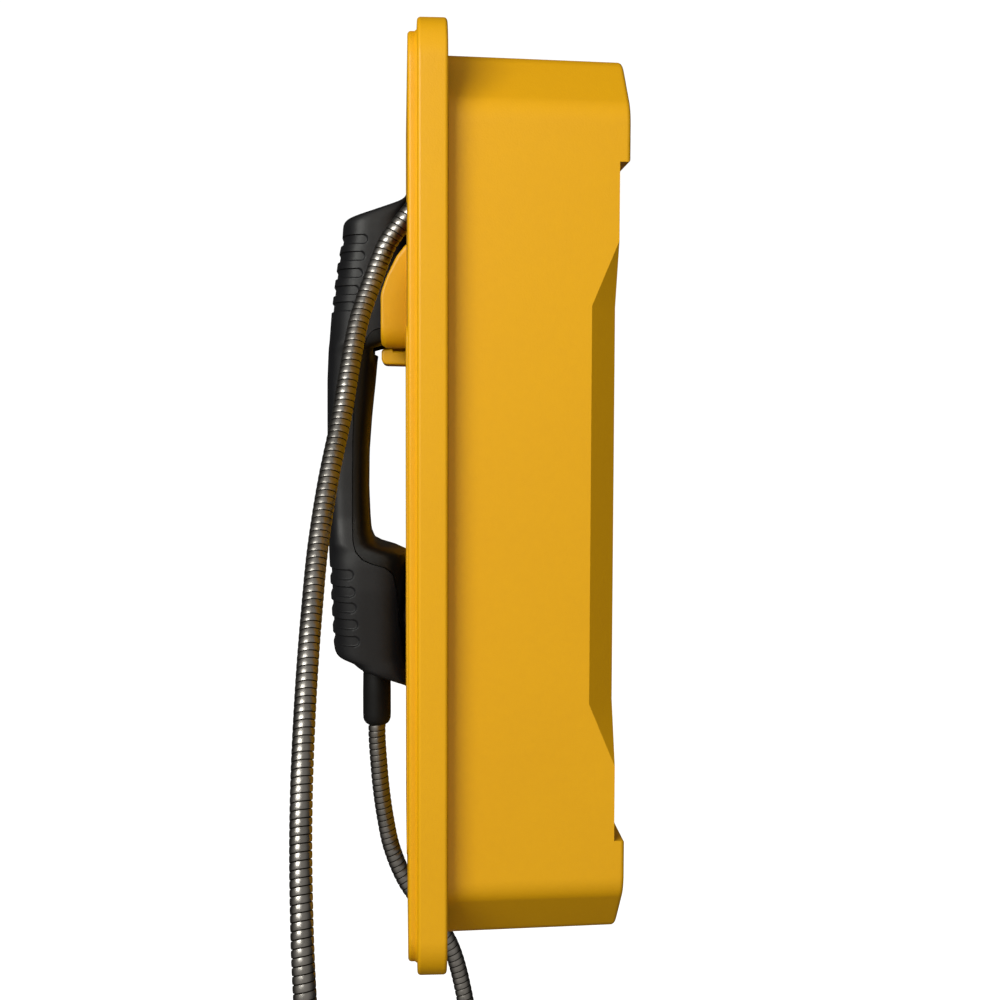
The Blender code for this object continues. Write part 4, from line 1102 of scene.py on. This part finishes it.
def makeHandsetShells():
    heights = fineHeights()
    outer = handsetForm("handsetOuterShell", handset["sides"], heights, grooved=True)
    innerHeights = np.unique(np.concatenate((heights[::3], heights[-1:])))
    inner = handsetForm("handsetInnerShell", handset["innerSides"], innerHeights, handset["seamDrop"])
    faceY = handset["faceY"]
    earHole, mouthHole = (rod("capHole", atCase(handsetX, faceY + 0.003, z), (0, -1, 0), 0.018, 0.010)
                          for z in (handset["earZ"], handset["mouthZ"]))
    bootHole = rod("bootHole", atCase(handsetX, bootY, -0.0885), (0, 0, 1), 0.0067, 0.013)
    cut(outer, handsetHollow(), seamBlock("seamOuter", 0.0), earHole, bootHole)
    cut(inner, handsetHollow())
    boolean(inner, [seamBlock("seamInner", -handset["seamGap"])], "INTERSECT")
    cut(inner, mouthHole)
    profile = [(0, -0.003), (0.0036, -0.003), (0.0036, 0), (0.0032, 0.0004), (0.0032, 0.0015), (0.0018, 0.0015),
               (0.0018, 0.009), (0, 0.009)]
    for z in handset["screwZ"]:
        front = float(formAt(np.array([z]), handset["softness"])[2][0])
        cut(inner, turned("screwPocket", profile, atCase(handsetX, front, z), (0, -1, 0), 24))
    weightNormals(outer, 50)
    weightNormals(inner, 45)
    place(outer, "handset", "blackPlastic", "black_plastic", "handset_outer_shell")
    place(inner, "handset", "innerPlastic", "black_plastic", "handset_inner_shell")
    print("handset", len(outer.data.polygons), "+", len(inner.data.polygons), "faces")


makeHandsetShells()

caps = {"rings": ((0.0, 1), (0.0045, 6), (0.0090, 12), (0.0135, 16)), "holeRadius": 0.0011}


def makeCap(name, node, z, radius):
    # round cap, open to the rear, with a dished and drilled face
    low, high = boxOf(node)
    front = low.y
    depth = high.y - low.y
    outside = [(radius - 0.0060, 0), (radius - 0.0036, 0.0006), (radius - 0.0018, 0.0020), (radius - 0.0004, 0.0040),
               (radius, 0.0056), (radius, depth - 0.0046), (radius - 0.0005, depth - 0.0028),
               (radius - 0.0018, depth - 0.0010), (radius - 0.0040, depth - 0.0001), (radius - 0.0070, depth),
               (radius - 0.0095, depth - 0.0006), (0.0150, depth - 0.0012), (0.0080, depth - 0.0015),
               (0, depth - 0.0016)]
    inside = [(0, depth - 0.0036), (radius - 0.0080, depth - 0.0036), (radius - 0.0068, depth - 0.0060),
              (radius - 0.0068, 0.0042), (radius - 0.0090, 0.0)]
    item = turned(name, outside + inside, atCase(handsetX, front, z), (0, 1, 0), 72, 38)
    drill = rod("drill", (0, depth - 0.006, 0), (0, 1, 0), caps["holeRadius"], 0.010, 12)
    points = [atCase(handsetX + ringRadius * cos(2 * pi * step / count), front,
                     z + ringRadius * sin(2 * pi * step / count))
              for ringRadius, count in caps["rings"] for step in range(count)]
    cut(item, scatter(f"{name}Drills", drill, points, "blackPlastic"))
    weightNormals(item, 38)
    place(item, "handset", "blackPlastic", "black_plastic", node)


makeCap("earCap", "ear_cap", handset["earZ"], 0.029)
makeCap("mouthCap", "mouth_cap", handset["mouthZ"], 0.026)
print("caps ready")

boot = {"topZ": -0.0825, "bottomZ": bootBottomZ, "topRadius": 0.0063, "bottomRadius": 0.0062, "bore": 0.0041}


def makeBoot():
    # rubber strain relief: a short collar under the handset, a straight sleeve and a rounded foot
    length = boot["topZ"] - boot["bottomZ"]
    bottom = boot["bottomRadius"]
    top = boot["topRadius"]
    profile = [(0, -0.003), (top, -0.003), (top, 0.0012), (top - 0.00035, 0.0017), (top - 0.0002, 0.0024),
               (top - 0.0001, length * 0.4), (bottom, length * 0.8), (bottom - 0.0001, length - 0.0026),
               (bottom - 0.0005, length - 0.0014),
               (bottom - 0.0011, length - 0.0005), (bottom - 0.0018, length), (boot["bore"], length),
               (boot["bore"], length - 0.006), (0, length - 0.006)]
    item = turned("handsetBoot", profile, atCase(handsetX, bootY, boot["topZ"]), (0, 0, -1), 48, 40)
    place(item, "handset", "blackRubber", "black_rubber", "handset_boot")


makeBoot()


# ---------- gland ----------

def makeGland():
    bore = hose["diameter"] / 2 + 0.0003
    radius = hose["diameter"] / 2 + 0.0024
    profile = [(0, 0.004), (bore, 0.004), (bore, 0.0), (radius - 0.0014, 0.0), (radius - 0.0006, 0.0003),
               (radius, 0.0012),
               (radius, 0.0052), (radius - 0.0005, 0.0060), (0.004, 0.0060), (0.004, 0.006 + gland["stem"]),
               (0, 0.006 + gland["stem"])]
    item = turned("cordGland", profile, atCase(*glandPoint(0)), glandAxis * -1)
    place(item, "root", "steelFitting", "steel_fittings", "cord_gland")


makeGland()


# ---------- CAD pieces that keep their shape ----------

keptLooks = {
    "blackRubber": ("housing_gasket", "keypad_mat", "line_grommet"),
    "steelFitting": ("hook_bracket", "hook_pin", "hook_spring", "gland_nut", "handset_screw_1", "handset_screw_2"),
    "blackPlastic": ("hook_switch", "sounder"),
    "boardGreen": ("keypad_board", "main_board"),
    "greyPlastic": ("terminal_block", "receiver_capsule", "microphone_capsule"),
}
for lookName, nodeNames in keptLooks.items():
    for nodeName in nodeNames:
        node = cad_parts[nodeName]
        node.data.materials.clear()
        node.data.materials.append(materials[lookName])


# ---------- floor and light ----------

studio = {
    "floorZ": -0.62, "floorSize": 9.0, "background": 1.05, "lightFrom": (0.95, -0.10, 0.22),
    "roomTint": (1.0, 0.965, 0.90), "dimSide": 0.035, "brightSide": 0.56, "dimFrom": -0.30, "brightTo": 1.0,
    "key": {"spot": (0.85, -0.60, 0.40), "size": (0.6, 0.4), "power": 8.2, "tint": (1.0, 1.0, 0.94)},
    "top": {"spot": (0.50, -0.60, 1.60), "size": (0.9, 0.9), "power": 1.0, "tint": (1.0, 1.0, 1.0)},
}


def makeFloor():
    builder = bmesh.new()
    bmesh.ops.create_grid(builder, x_segments=1, y_segments=1, size=studio["floorSize"])
    bmesh.ops.translate(builder, verts=builder.verts, vec=(0, 0, centreZ + studio["floorZ"]))
    floor = meshFrom("floor", builder)

    def build(tree, place):
        mask = useGroup(tree, mottleGroup, place, 1.5)
        return {"Base Color": colourBetween(tree, mask, (0.90, 0.90, 0.90), (0.92, 0.92, 0.92)), "Roughness": 0.6,
                "Emission Color": (1, 1, 1, 1), "Emission Strength": 0.9}

    floor.data.materials.append(newMaterial("floorPaint", build))
    floor.visible_diffuse = False
    floor.visible_glossy = False


def areaLight(name, settings):
    light = bpy.data.lights.new(name, "AREA")
    light.shape = "RECTANGLE"
    light.size, light.size_y = settings["size"]
    light.energy = settings["power"]
    light.color = settings["tint"]
    item = newObject(name, light)
    spot = atCase(*settings["spot"])
    item.rotation_euler = (atCase(0, -0.05, 0) - spot).to_track_quat("-Z", "Y").to_euler()
    item.location = spot


def makeWorld():
    # the backdrop is white to the camera; the room that lights the phone is brighter on one side
    world = bpy.data.worlds.new("studioWorld")
    bpy.context.scene.world = world
    world.use_nodes = True
    tree = world.node_tree
    direction = tree.nodes.new("ShaderNodeTexCoord").outputs["Generated"]
    facing = addNode(tree, "ShaderNodeVectorMath", "Value",
                     {0: direction, 1: Vector(studio["lightFrom"]).normalized()}, operation="DOT_PRODUCT")
    room = addNode(tree, "ShaderNodeMapRange", "Result",
                   {"From Min": studio["dimFrom"], "From Max": studio["brightTo"], "To Min": studio["dimSide"],
                    "To Max": studio["brightSide"], "Value": facing}, interpolation_type="SMOOTHSTEP")
    seen = tree.nodes.new("ShaderNodeLightPath").outputs["Is Camera Ray"]
    strength = addNode(tree, "ShaderNodeMix", "Result", {"A": room, "B": studio["background"], "Factor": seen})
    colour = colourBetween(tree, seen, studio["roomTint"], (1, 1, 1))
    feed(tree, tree.nodes["Background"], {"Strength": strength, "Color": colour})


makeWorld()
bpy.context.scene.view_settings.view_transform = "Standard"    # colours as mixed, without a film curve
makeFloor()
areaLight("keyLight", studio["key"])
areaLight("topLight", studio["top"])
